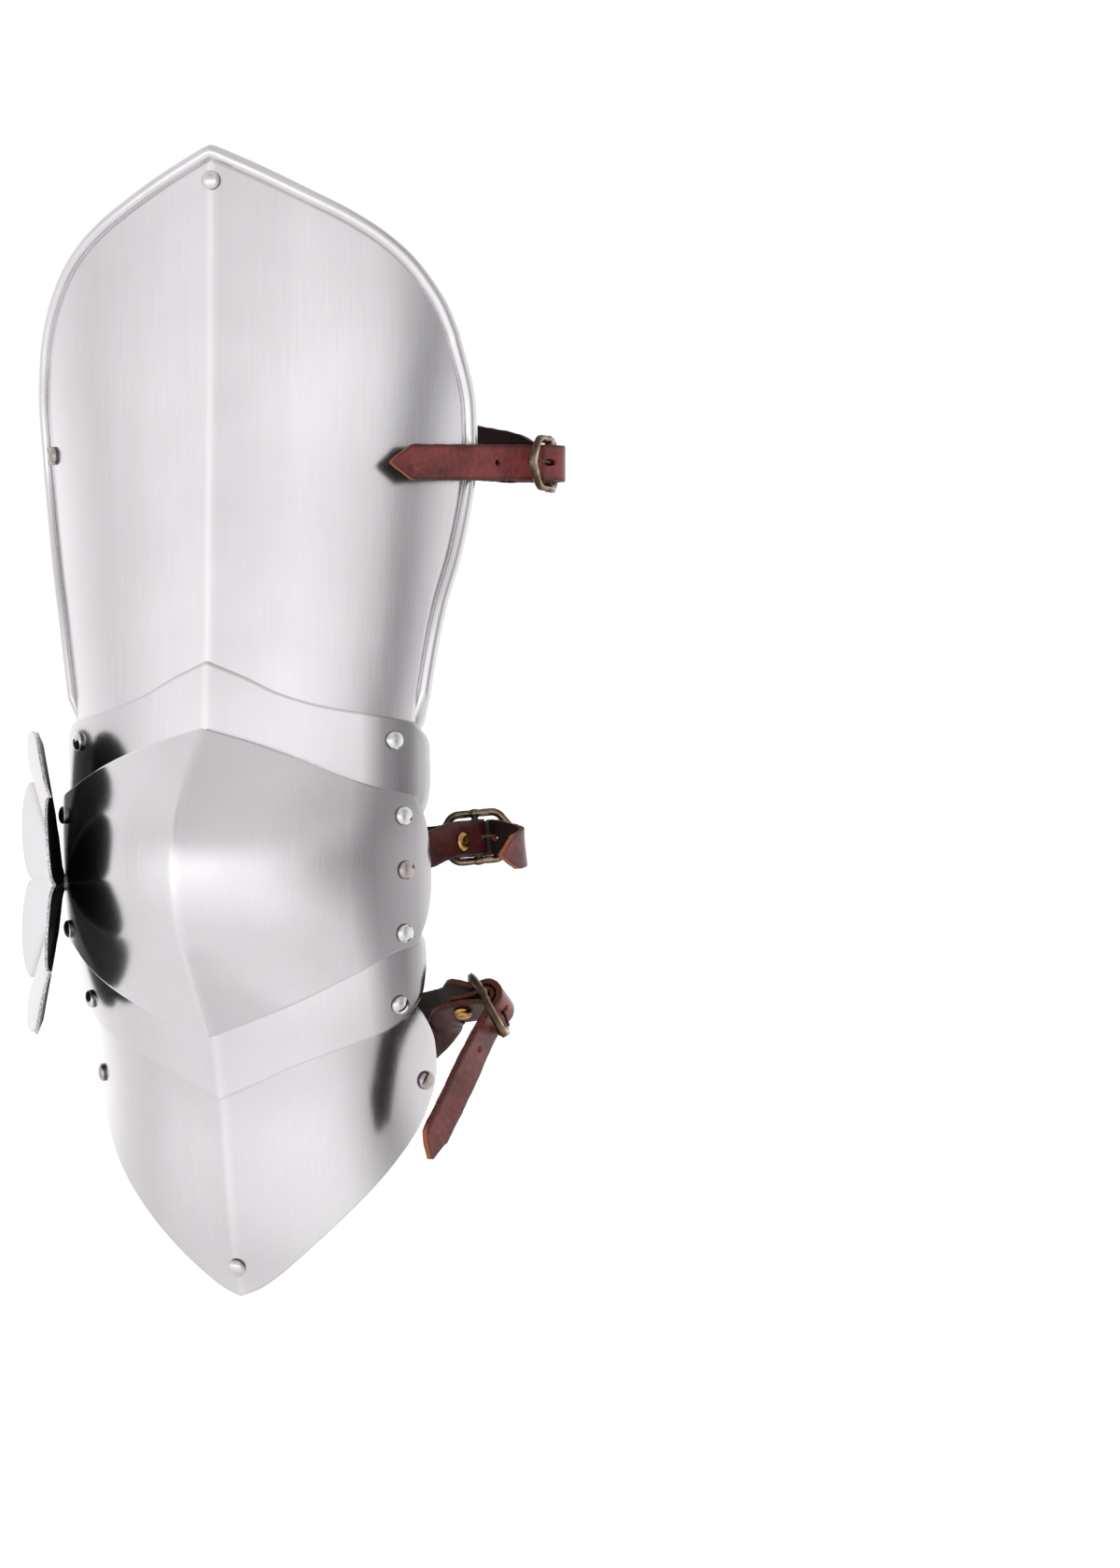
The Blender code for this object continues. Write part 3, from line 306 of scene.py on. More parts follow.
# %% Stretch a grid to an outline and lay it on the form
def patch_point(outline, s, v):
    """Place on the plate: s runs from the ridge to the side, v from the bottom to the top."""
    top, side, bottom = outline["top"], outline["side"], outline["bottom"]
    top_x, bottom_x = top["x"][-1], bottom["x"][-1]
    low_z, high_z = side["z"][0], side["z"][-1]
    side_z = low_z + v * (high_z - low_z)
    centre_z = bottom["z"][0] + v * (top["z"][0] - bottom["z"][0])
    bx, tx = s * bottom_x, s * top_x
    x = (1 - v) * bx + v * tx + s * read(side, "z", "x", side_z)
    x -= s * ((1 - v) * bottom_x + v * top_x)
    z = (1 - v) * read(bottom, "x", "z", bx) + v * read(top, "x", "z", tx)
    z += (1 - s) * centre_z + s * side_z
    z -= (1 - s) * ((1 - v) * bottom["z"][0] + v * top["z"][0])
    z -= s * ((1 - v) * low_z + v * high_z)
    return x, z


def sheet(name, outline, layer, dome, across, up):
    """The plate's outer face: a grid from -1 to 1, stretched to the outline on both sides."""
    piece = primitive(name, bpy.ops.mesh.primitive_grid_add,
                      x_subdivisions=2 * across, y_subdivisions=up, size=2.0)
    points = []
    for gx, gy, _ in get_points(piece) * MM:
        x, z = patch_point(outline, abs(gx), (gy + 1) / 2)
        points.append((math.copysign(x, gx) if abs(gx) > 1e-6 else 0.0, 0.0, z))
    points = np.array(points)
    points[:, 1] = leg_y(points[:, 0], points[:, 2], layer, dome)
    place_points(piece, points)
    if piece.data.polygons[0].normal.y > 0:
        edit(piece, bpy.ops.mesh.flip_normals)
    return piece


def give_thickness(piece, bevel):
    """Sheet to plate; material slots 0, 1 and 2 are its outer face, inner face and cut edge."""
    for _ in range(3):
        piece.data.materials.append(None)
    apply_step(piece, "SOLIDIFY", thickness=PLATE * MM, offset=-1.0, use_even_offset=True,
               material_offset=1, material_offset_rim=2)
    break_edges(piece, bevel, 60)
    smooth(piece, 40)
    print("%s: %d triangles" % (piece.name, triangles(piece)))
    return piece


def plate(name, *shape):
    return give_thickness(sheet(name, *shape), 0.32)


fine["cuisse_plate"] = plate("thigh_plate", CUISSE, 0, False, 56, 128)
fine["upper_lame"] = plate("lame_above_knee", UPPER, 1, False, 52, 34)
fine["poleyn"] = plate("knee_plate", POLEYN, 2, True, 60, 72)
fine["lower_lame"] = plate("lame_below_knee", LOWER, 1, False, 52, 34)
fine["shin_plate"] = plate("shin_plate_fine", SHIN, 0, False, 52, 68)

# %% [markdown]
# ## The rolled rim
# The thigh plate's top and sides are rolled outwards over a wire, which stiffens the edge and
# saves the leg from it. It could be a bevelled curve, but the roll must follow the plate's own
# surface and lie down flat at its ends, so an oval section is carried along the plate's edge,
# and it flattens, then narrows, where the lame covers it.

# %% Carry a section along a route
RIM_WIDTH = 5.8
RIM_PROUD = 2.8
RIM_SIDES = 20
RIM_END_Z = -105.0       # it flattens below this height
RIM_END_RUN = 9.0
RIM_TAPER_Z = -116.0     # and narrows below this one
RIM_TAPER_RUN = 14.0
RIM_OVERLAP = 0.25       # how far it reaches in over the plate's edge
RIM_FLAT = 0.45          # half its height where it lies flat, sunk by RIM_SINK
RIM_SINK = 0.6
SIDE_STEPS = 110         # places along each side of the route
TOP_STEPS = 80           # and along each half of the top


def sweep(name, rings):
    """Skin over a row of rings, each a list of places with the same count, closed at its ends."""
    count, sides = len(rings), len(rings[0])
    points = [tuple(p) for ring in rings for p in ring]
    faces = []
    for i in range(count - 1):
        for k in range(sides):
            m = (k + 1) % sides
            faces.append((i * sides + k, i * sides + m, (i + 1) * sides + m, (i + 1) * sides + k))
    faces.append(tuple(range(sides)))
    faces.append(tuple((count - 1) * sides + k for k in range(sides)))
    piece = from_points(name, points, [], faces)
    edit(piece, lambda: bpy.ops.mesh.normals_make_consistent(inside=False))
    return piece


print("rim: %.1f mm wide, %.1f mm proud" % (RIM_WIDTH, RIM_PROUD))


# %% The rim's route
def rim_route():
    """Up the outer side, over the point at the top and down the inner side."""
    side = [patch_point(CUISSE, 1.0, k / SIDE_STEPS) for k in range(SIDE_STEPS + 1)]
    top = []
    for k in range(1, 2 * TOP_STEPS):
        t = k / TOP_STEPS - 1
        x, z = patch_point(CUISSE, abs(t), 1.0)
        top.append((math.copysign(x, t) if t else 0.0, z))
    return [(-x, z) for x, z in side] + top + side[::-1]


print("rim route: %d places" % len(rim_route()))


# %% Roll the rim
def rise_from(z, start, run):
    """0 below the start height less its run, 1 above the start height."""
    return min(1.0, max(0.0, (z - (start - run)) / run))


def rolled_rim():
    route = rim_route()
    places = [leg_point(x, z) for x, z in route]
    half_h = (RIM_PROUD + PLATE) / 2
    rings = []
    for i, (x, z) in enumerate(route):
        here, normal = places[i], leg_normal(x, z)
        before, after = places[max(0, i - 1)], places[min(len(places) - 1, i + 1)]
        along = (after - before).normalized()
        out = along.cross(normal).normalized()
        if out.dot(here - Vector((0.0, here.y, -10.0))) < 0:
            out.negate()
        high = rise_from(z, RIM_END_Z, RIM_END_RUN)
        wide = rise_from(z, RIM_TAPER_Z, RIM_TAPER_RUN)
        ring = []
        for k in range(RIM_SIDES):
            a = math.tau * k / RIM_SIDES
            b = RIM_WIDTH / 2 * (1 + math.cos(a)) * wide - RIM_OVERLAP
            n = (half_h * math.sin(a) + half_h - PLATE) * high
            n += (RIM_FLAT * wide * math.sin(a) - RIM_SINK) * (1 - high)
            ring.append(here + out * b + normal * n)
        rings.append(ring)
    piece = sweep("rolled_rim", rings)
    smooth(piece, 60)
    # painted shade in the crease against the plate, more at the inner side of the leg
    painted_crease_shade = np.zeros((len(route), RIM_SIDES))
    painted_crease_shade[:, RIM_SIDES // 2] = [0.75 if x > 0 else 0.30 for x, z in route]
    mark(piece, "painted_crease_shade", painted_crease_shade.ravel())
    return piece


fine["rolled_rim"] = rolled_rim()
print("rolled rim: %d triangles" % triangles(fine["rolled_rim"]))

# %% [markdown]
# ## The petalled wing
# The wing guards the outer side of the knee. It is a dished disc with scalloped petals and a
# furrow between each two, held by one rivet through its middle. A grid is wrapped round into a
# disc, so its rings and rays fall on the furrows, then it gets its thickness as a plate does.

# %% Sizes of the wing and where it stands
GAP = 0.3                     # play under a rivet's head
HOLE_R = 2.2
FAN_CENTRE = (-80.0, -186.5)
FAN_TURN = 61.0               # degrees that its face turns away from the front
FAN_TIP = 69.0                # radius over the petals
FAN_NOTCH = 60.0              # radius at the notches between them
FAN_FRONT = -0.26             # part by which the front petals are shorter
FAN_REAR = 0.04               # and the rear ones longer
FAN_PETALS = 8
FAN_ROUND = 0.55              # how blunt a petal is
FAN_DISH = 0.17
FAN_CREASE = 1.3              # depth of a furrow, which is whole past FAN_CREASE_R
FAN_CREASE_R = 30.0
FAN_CREASE_SHARP = 16.0
FAN_CROWN = 1.1
FAN_BOSS_R = 7.0
FAN_STAND = 0.65              # gap between the wing and the knee plate

UP = Vector((0.0, 0.0, 1.0))
turn_rad = math.radians(FAN_TURN)
fan_base = leg_point(FAN_CENTRE[0], FAN_CENTRE[1], 2, True)
fan_face = Vector((-math.sin(turn_rad), -math.cos(turn_rad), 0.0))
fan_back = Vector((math.cos(turn_rad), -math.sin(turn_rad), 0.0))
if fan_back.y < 0:
    fan_back.negate()
print("wing faces", tuple(round(v, 2) for v in fan_face))


# %% Petals and furrows
def fan_radius(angle):
    turn = (angle * FAN_PETALS / math.tau) % 1.0
    petal = max(0.0, math.sin(math.pi * turn)) ** FAN_ROUND
    reach = FAN_NOTCH + (FAN_TIP - FAN_NOTCH) * petal
    lean = FAN_FRONT if math.sin(angle) < 0 else FAN_REAR
    return reach * (1.0 + lean * math.sin(angle) ** 2)


def fan_lift(angle, radius):
    turn = (angle * FAN_PETALS / math.tau) % 1.0
    furrow = math.exp(-min(turn, 1 - turn) * FAN_CREASE_SHARP)
    boss = max(0.0, 1.0 - radius / FAN_BOSS_R)
    lift = FAN_DISH * radius - FAN_CREASE * furrow * min(1.0, radius / FAN_CREASE_R) - boss
    return lift + FAN_CROWN * math.sin(math.pi * turn) * (radius / FAN_TIP) ** 1.5


print("longest petal: %.1f mm" % max(fan_radius(math.tau * k / 64) for k in range(64)))


# %% Wrap a grid into the wing
def wing():
    piece = primitive("petalled_wing", bpy.ops.mesh.primitive_grid_add,
                      x_subdivisions=256, y_subdivisions=30, size=2.0)
    start = fan_base + fan_face * (FAN_STAND + PLATE)
    points = []
    for gx, gy, _ in get_points(piece) * MM:
        a = math.pi * (gx + 1)
        edge = fan_radius(a)
        r = HOLE_R + (edge - HOLE_R) * (gy + 1) / 2
        points.append(start + fan_face * fan_lift(a, r) + UP * r * math.cos(a)
                      + fan_back * r * math.sin(a))
    place_points(piece, points)
    edit(piece, lambda: bpy.ops.mesh.remove_doubles(threshold=0.00002))
    if piece.data.polygons[0].normal.dot(fan_face) < 0:
        edit(piece, bpy.ops.mesh.flip_normals)
    return give_thickness(piece, 0.3)


fine["fan_plate"] = wing()

# %% [markdown]
# ## Rivets
# Each rivet is a short rod with a domed head; its other end is hammered over behind the plate.
# Half a sphere makes the head. Its open underside is drawn in to the shank, pulled down
# through the plates and spread into the hammered end. One is modelled, and every other rivet is
# a copy with its shank shortened to its own grip.

# %% Sizes of a rivet, and how its lowest ring is drawn down
HEAD_R = 4.1
HEAD_H = 2.6
HEAD_WALL = 0.45       # upright part of the head, under the dome
SHANK_R = 1.9
TAIL_R = 3.6           # the hammered end
TAIL_H = 1.1
PATTERN_GRIP = 5.0     # thickness that the pattern holds; each copy gets its own


def lower_rim(piece):
    """Select the ring of points, edges and faces at the lowest height."""
    points = get_points(piece)
    low = points[:, 2].min() + 0.02
    for vertex, point in zip(piece.data.vertices, points):
        vertex.select = bool(point[2] <= low)
    for edge in piece.data.edges:
        edge.select = all(piece.data.vertices[i].select for i in edge.vertices)
    for face in piece.data.polygons:
        face.select = all(piece.data.vertices[i].select for i in face.vertices)


def pull_down(piece, steps):
    """Extrude the lowest ring: each step is (new radius / old radius, drop in mm)."""
    for grow, drop in steps:
        lower_rim(piece)
        centre = get_points(piece).mean(axis=0)
        pick(piece)
        bpy.ops.object.mode_set(mode="EDIT")
        bpy.ops.mesh.select_mode(type="VERT")
        bpy.ops.mesh.extrude_region_move(TRANSFORM_OT_translate={"value": (0, 0, -drop * MM)})
        bpy.ops.transform.resize(value=(grow, grow, 1.0), center_override=(0, 0, centre[2] * MM))
        bpy.ops.object.mode_set(mode="OBJECT")


print("rivet head: %.1f mm across" % (2 * HEAD_R))


# %% One rivet, modelled by hand
def model_rivet():
    piece = primitive("rivet_pattern", bpy.ops.mesh.primitive_uv_sphere_add,
                      segments=28, ring_count=16, radius=HEAD_R * MM)
    edit(piece, lambda: bpy.ops.mesh.bisect(plane_co=(0, 0, 0), plane_no=(0, 0, 1),
                                            clear_inner=True))
    points = get_points(piece)
    points[:, 2] = points[:, 2] / HEAD_R * (HEAD_H - HEAD_WALL) + HEAD_WALL + GAP
    place_points(piece, points)
    under = 0.95           # the head's underside is a little smaller than the head
    pull_down(piece, [(1.0, 0.28), (under, 0.16), (SHANK_R / HEAD_R / under, 0.01),
                      (1.0, GAP + PATTERN_GRIP), (TAIL_R / SHANK_R, 0.02), (0.96, TAIL_H * 0.6),
                      (0.62, TAIL_H * 0.4)])
    lower_rim(piece)
    pick(piece)
    bpy.ops.object.mode_set(mode="EDIT")
    bpy.ops.mesh.edge_face_add()
    bpy.ops.mesh.select_all(action="SELECT")
    bpy.ops.mesh.remove_doubles(threshold=0.000002)
    bpy.ops.mesh.normals_make_consistent(inside=False)
    bpy.ops.object.mode_set(mode="OBJECT")
    smooth(piece, 40)
    # painted shade round the base of the head, where it meets the plate, and below it
    mark(piece, "painted_crease_shade", np.clip((1.1 - get_points(piece)[:, 2]) / 0.6, 0, 1))
    return piece


rivet_pattern = model_rivet()
print("rivet: %d triangles" % triangles(rivet_pattern))


# %% Copies at every place
def stand(place, axis):
    """Matrix that puts a piece modelled along +Z at a place, pointing along axis."""
    turn = axis.normalized().to_track_quat("Z", "Y").to_matrix().to_4x4()
    return Matrix.Translation(Vector(place) * MM) @ turn


def set_rivet(node, place, axis, grip):
    """A copy of the pattern at a place, its hammered end moved to suit its own grip."""
    piece = copy_of(rivet_pattern, node + "_turned")
    points = get_points(piece)
    points[points[:, 2] < -1.0, 2] -= grip - PATTERN_GRIP
    place_points(piece, points)
    piece.data.transform(stand(place, axis))
    fine[node] = piece


PROBE_STEP = 0.1


def inner_gap(centre, axis, layer):
    """How deep the next plate lies under a pivot rivet's head."""
    for k in range(1, 120):
        probe = centre - axis * (k * PROBE_STEP)
        if probe.y > leg_y(probe.x, probe.z, layer):
            break
    return k * PROBE_STEP


print("the rivet pattern grips %.1f mm" % PATTERN_GRIP)

# %% Where the rivets are and how much each one holds
STRAP_W = 15.2
STRAP_T = 2.8
CHAPE_T = 2.2
PIVOT_RIVETS = (
    # node stem, height, half-width, outer layer, dome, inner layer, play
    ("rivet_upper_lame", -125.0, 73.2, 1, False, 0, 1.3),
    ("rivet_poleyn_top", -157.0, 78.6, 2, True, 1, 1.3),
    ("rivet_poleyn_low", -207.0, 77.8, 2, True, 1, 1.3),
    ("rivet_lower_lame", -238.0, 72.0, 1, False, 0, 1.7),
)
UNDER_PLATE = 0.9      # room between a plate and the leather that is riveted to it
STRAP_GRIP = PLATE + UNDER_PLATE + STRAP_T + GAP
CHAPE_GRIP = PLATE + UNDER_PLATE + CHAPE_T + GAP
FAN_GRIP = FAN_STAND + 2 * PLATE + STRAP_T + 1.1     # wing, knee plate and strap, with room
SINGLE_RIVETS = (
    # node, place across, height, layer, dome, grip
    ("rivet_cuisse_top", 0.0, 113.0, 0, False, PLATE + 1.2),
    ("rivet_shin_point", 0.0, -352.5, 0, False, PLATE + 1.9),
    ("rivet_thigh_outer", -92.6, 2.0, 0, False, STRAP_GRIP),
    ("rivet_thigh_inner", 92.6, -4.2, 0, False, CHAPE_GRIP),
    ("rivet_knee_inner", 79.2, -180.0, 2, True, CHAPE_GRIP),
    ("rivet_calf_outer", -76.0, -272.0, 0, False, STRAP_GRIP),
    ("rivet_calf_inner", 76.0, -272.0, 0, False, CHAPE_GRIP),
)
for stem, z, x, layer, dome, inner, play in PIVOT_RIVETS:
    for word, side in (("outer", -1.0), ("inner", 1.0)):
        spot = leg_point(side * x, z, layer, dome)
        axis = leg_normal(side * x, z, layer, dome)
        set_rivet(stem + "_" + word, spot, axis, inner_gap(spot, axis, inner) + PLATE + play)
for node, x, z, layer, dome, grip in SINGLE_RIVETS:
    set_rivet(node, leg_point(x, z, layer, dome), leg_normal(x, z, layer, dome), grip)
set_rivet("rivet_fan", fan_base + fan_face * (FAN_STAND + PLATE), fan_face, FAN_GRIP)
bpy.data.objects.remove(rivet_pattern)
print("rivets:", sum(name.startswith("rivet") for name in fine))

# %% [markdown]
# ## Strap leather
# A strap is cut flat, pointed at its end, punched with holes and only then bent round the leg.
# It is made in that order here too: a flat grid is pointed, given its thickness, punched by
# Boolean and bevelled, and afterwards laid along its route. Each point keeps its flat place in an
# attribute called lay (along, across from -1 to 1, through from -1 to 1), so that the leather's
# grain, its cut edge and its flesh side follow the strap wherever it goes.

# %% Places on a buckle
class BuckleFrame:
    """Local axes of one buckle: along its length, along its bars, and out of its face."""

    def __init__(self, centre, along, bars, out_hint):
        self.centre = Vector(centre)
        self.along = Vector(along).normalized()
        bars = Vector(bars)
        self.bars = (bars - self.along * bars.dot(self.along)).normalized()
        self.out = self.along.cross(self.bars).normalized()
        if self.out.dot(Vector(out_hint)) < 0:
            self.out.negate()

    def at(self, along, out, bars=0.0):
        return self.centre + self.along * along + self.out * out + self.bars * bars

    def swung(self, degrees):
        """The same place turned about the centre bar, for a chape that leaves at an angle."""
        c, s = math.cos(math.radians(degrees)), math.sin(math.radians(degrees))
        out = self.out * c - self.along * s
        return BuckleFrame(self.centre, self.along * c + self.out * s, self.bars, out)


thigh_buckle = BuckleFrame((128.5, 12.8, -5.2), (0, -1, 0), (0, 0, 1), (1, 0, 0))
knee_buckle = BuckleFrame((94.6, 16.0, -166.6), (0.949, 0.299, 0.1), (-0.095, -0.030, 0.995),
                          (0, -1, 0))
calf_buckle = BuckleFrame((106.0, 2.0, -238.0), (0.582, -0.488, -0.655),
                          (0.092, 0.836, -0.544), (1, 0, 0))
print("the knee buckle faces", tuple(round(v, 2) for v in knee_buckle.out))


# %% Routes: rows of (place, direction of the width), joined by a smooth curve
PATH_STEP = 1.2


def smooth_path(rows):
    """Places and widths every PATH_STEP along the rows."""
    stations = []
    count = len(rows)
    for i in range(count - 1):
        p0 = rows[max(0, i - 1)][0]
        p1, w1 = rows[i]
        p2, w2 = rows[i + 1]
        p3 = rows[min(count - 1, i + 2)][0]
        d = (p2 - p1).length
        parts = max(2, math.ceil(d / PATH_STEP))
        m1 = (p2 - p0).normalized() * d if i > 0 else p2 - p1
        m2 = (p3 - p1).normalized() * d if i < count - 2 else p2 - p1
        for k in range(parts):
            t = k / parts
            point = (p1 * (2 * t ** 3 - 3 * t ** 2 + 1) + m1 * (t ** 3 - 2 * t ** 2 + t)
                     + p2 * (3 * t ** 2 - 2 * t ** 3) + m2 * (t ** 3 - t ** 2))
            stations.append((point, (w1 * (1 - t) + w2 * t).normalized()))
    stations.append((rows[-1][0], rows[-1][1].normalized()))
    return stations


def rows_of(table, across=UP):
    return [(Vector(place), Vector(across)) for place in zip(table["x"], table["y"], table["z"])]


def along_wall(x_start, x_end, z, layer, dome, depth, z_end=None):
    """Three rows that follow the inside of a plate's side wall to its edge."""
    rows = []
    z_end = z if z_end is None else z_end
    ahead = leg_point(x_end, z_end, layer, dome) - leg_point(x_start, z, layer, dome)
    for t in (0.0, 0.5, 1.0):
        x, height = x_start + (x_end - x_start) * t, z + (z_end - z) * t
        normal = leg_normal(x, height, layer, dome)
        point = leg_point(x, height, layer, dome) - normal * depth
        across = ahead.cross(normal).normalized()
        if across.z < 0:
            across.negate()
        rows.append((point, across))
    return rows


# out through one loop, over the centre bar and back through the other: (along, out)
THIGH_TURN = ((-6.7, -5.0), (-6.5, 0.4), (-4.5, 4.2), (0.0, 6.0), (4.7, 4.3), (6.8, 0.6),
              (6.9, -5.0))
CALF_TURN = ((-14.0, -8.0), (-10.6, -5.4), (-7.5, -2.1), (-6.6, 1.2), (-4.8, 4.6), (0.0, 6.4),
             (4.9, 4.6), (6.7, 1.2), (7.5, -2.1))
LEATHER_GAP = 0.55
STRAP_DEPTH = PLATE + LEATHER_GAP + STRAP_T / 2
CHAPE_DEPTH = PLATE + LEATHER_GAP + CHAPE_T / 2
print("straps run %.2f mm under a plate's face, chapes %.2f mm" % (STRAP_DEPTH, CHAPE_DEPTH))

# %% The three strap routes
THIGH_BACK = {"x": (-99.0, -92.0, -62.0, 0.0, 58.0, 94.0, 110.0),
              "y": (14.0, 36.0, 62.0, 74.0, 62.0, 36.5, 26.0),
              "z": (2.0, 3.0, 10.0, 15.5, 13.0, 5.8, 1.6)}
THIGH_TAIL = {"x": (113.5, 104.5, 95.3, 86.3, 77.5), "y": (-3.5, -14.0, -25.0, -36.0, -46.0),
              "z": (-5.6, -6.2, -6.8, -7.4, -7.9)}
thigh_rows = along_wall(-85.0, -97.0, 2.0, 0, False, STRAP_DEPTH) + rows_of(THIGH_BACK)
thigh_rows += [(thigh_buckle.at(*turn), UP) for turn in THIGH_TURN] + rows_of(THIGH_TAIL)

KNEE_BACK = {"x": (-86.0, -84.0, -62.0, 0.0, 52.0, 80.0, 94.0),
             "y": (-2.0, 18.0, 50.0, 68.0, 57.0, 41.0, 30.5),
             "z": (-183.0, -182.0, -180.0, -176.0, -171.0, -168.5, -167.5)}
KNEE_TAIL = ((6.8, -4.5, 0.0), (7.3, 0.4, 0.0), (11.0, 5.6, -0.5), (16.6, 9.4, -2.0),
             (20.0, 14.0, -3.5), (19.7, 19.3, -5.0), (16.4, 25.3, -6.3), (11.0, 32.0, -7.3))
knee_rows = along_wall(-72.0, -84.0, -184.0, 2, True, STRAP_DEPTH + 0.2) + rows_of(KNEE_BACK)
for along, out, up in KNEE_TAIL:
    knee_rows.append((knee_buckle.at(along, out) + UP * (up - 0.1 * along), knee_buckle.bars))

CALF_BACK = {"x": (-80.5, -80.0, -58.0, 0.0, 46.0, 70.0, 83.0),
             "y": (16.0, 36.0, 66.0, 82.0, 66.0, 40.0, 20.5),
             "z": (-270.0, -267.0, -260.0, -252.0, -246.5, -242.0, -238.2)}
CALF_TAIL = {"x": (105.1, 102.8, 100.3, 95.5, 90.7, 89.9),
             "y": (-9.0, -14.0, -20.0, -24.0, -28.0, -31.0),
             "z": (-253.5, -261.1, -269.9, -282.0, -293.9, -302.5)}
calf_width = -calf_buckle.bars
tail_width = Vector((-0.342, -0.894, 0.284))
calf_rows = along_wall(-68.0, -78.6, -272.0, 0, False, STRAP_DEPTH)
for twist, (place, across) in zip((0, 0, 0, 0, 0.15, 0.45, 0.75), rows_of(CALF_BACK)):
    calf_rows.append((place, (across * (1 - twist) + calf_width * twist).normalized()))
calf_rows += [(calf_buckle.at(*turn), calf_width) for turn in CALF_TURN]
for twist, (place, across) in zip((0.3, 0.6, 0.9, 1.0, 1.0, 1.0), rows_of(CALF_TAIL)):
    calf_rows.append((place, (calf_width * (1 - twist) + tail_width * twist).normalized()))
print("route rows:", len(thigh_rows), len(knee_rows), len(calf_rows))

# %% The three chapes, folded round their bars
def folded(rows, place, side, reach, across=None):
    """Add the fold round the centre bar: away from the plate, round and back."""
    turns = ((-1.6, -reach - 1.5), (-1.5, -9.0), (-2.6, -2.6), (-3.1, 0.6), (-1.9, 2.6),
             (0.0, 3.2), (1.9, 2.6), (3.1, 0.6), (2.6, -2.6), (1.5, -9.0), (1.6, -reach))
    return rows + [(place.at(side * along, out), across or place.bars) for along, out in turns]


knee_fold = knee_buckle.swung(-145.0)
calf_fold = calf_buckle.swung(-25.0)
thigh_chape_rows = along_wall(84.0, 96.5, -4.2, 0, False, CHAPE_DEPTH, -4.6)
thigh_chape_rows.append((Vector((103.0, 8.0, -4.8)), UP))
thigh_chape_rows = folded(thigh_chape_rows, thigh_buckle, 1, 15.5)
knee_chape_rows = along_wall(71.0, 85.5, -182.0, 2, True, CHAPE_DEPTH, -172.8)
knee_chape_rows = folded(knee_chape_rows, knee_fold, 1, 18.5)
calf_chape_rows = along_wall(71.5, 77.8, -276.0, 0, False, CHAPE_DEPTH + 0.15, -259.0)
calf_chape_rows += [(Vector((80.6, 10.0, -252.5)), Vector((-0.30, -0.80, 0.50))),
                    (Vector((84.2, 5.6, -246.8)), Vector((-0.22, -0.82, 0.54)))]
calf_chape_rows = folded(calf_chape_rows, calf_fold, -1, 16.5, calf_width)
print("chape rows:", len(thigh_chape_rows), len(knee_chape_rows), len(calf_chape_rows))


# %% A route as a table: run, places, widths and faces
def path_table(rows):
    stations = smooth_path(rows)
    places = np.array([tuple(p) for p, w in stations])
    widths = np.array([tuple(w) for p, w in stations])
    ahead = np.gradient(places, axis=0)
    ahead /= np.linalg.norm(ahead, axis=1)[:, None]
    widths -= ahead * (ahead * widths).sum(axis=1)[:, None]
    widths /= np.linalg.norm(widths, axis=1)[:, None]
    run = np.concatenate([[0.0], np.cumsum(np.linalg.norm(np.diff(places, axis=0), axis=1))])
    return run, places, widths, np.cross(ahead, widths)


def near_station(table, target):
    """Run of the place on a route that is nearest to a target."""
    run, places = table[0], table[1]
    return float(run[np.linalg.norm(places - np.array(tuple(target)), axis=1).argmin()])


thigh_table, knee_table, calf_table = (path_table(r) for r in (thigh_rows, knee_rows, calf_rows))
print("straps of %.0f, %.0f and %.0f mm" % (thigh_table[0][-1], knee_table[0][-1],
                                            calf_table[0][-1]))


# %% Punch holes
def punch(piece, spots):
    """Each spot is (along, diameter, slot length); one cutter holds them all."""
    tools = []
    for along, size, slot in spots:
        tool = primitive("punch", bpy.ops.mesh.primitive_cylinder_add, vertices=20,
                         radius=size / 2 * MM, depth=0.02, location=(along * MM, 0, 0))
        tool.scale.x = (slot or size) / size
        tools.append(tool)
    bpy.ops.object.select_all(action="DESELECT")
    for tool in tools:
        tool.select_set(True)
    bpy.context.view_layer.objects.active = tools[0]
    bpy.ops.object.transform_apply()
    bpy.ops.object.join()
    cutter = bpy.context.active_object
    apply_step(piece, "BOOLEAN", operation="DIFFERENCE", solver="EXACT", object=cutter)
    bpy.data.objects.remove(cutter)


# %% Cut a strap and lay it along its route
def half_width(left, tip):
    """Half of the strap's width, by the length left to its end; the last part is pointed."""
    half = np.full(len(left), STRAP_W / 2)
    if tip:
        half = np.minimum(half, 0.5 + (STRAP_W / 2 - 0.5) * left / tip)
    return half


def lay_along(piece, table, thick, tip, grain):
    run, places, widths, faces = table
    flat = get_points(piece)
    left = run[-1] - flat[:, 0]
    lay = np.stack([flat[:, 0] * MM, flat[:, 1] / half_width(left, tip),
                    flat[:, 2] / (thick / 2) * grain], axis=1)
    mark(piece, "lay", lay.ravel(), "vector", "FLOAT_VECTOR")
    mark(piece, "tip", np.clip(1.0 - (left - tip) / 3.0, 0, 1) if tip else 0 * left)

    def at(columns):
        return np.stack([np.interp(flat[:, 0], run, columns[:, k]) for k in range(3)], axis=1)

    laid = at(places) + at(widths) * flat[:, 1:2] + at(faces) * flat[:, 2:3]
    place_points(piece, laid)


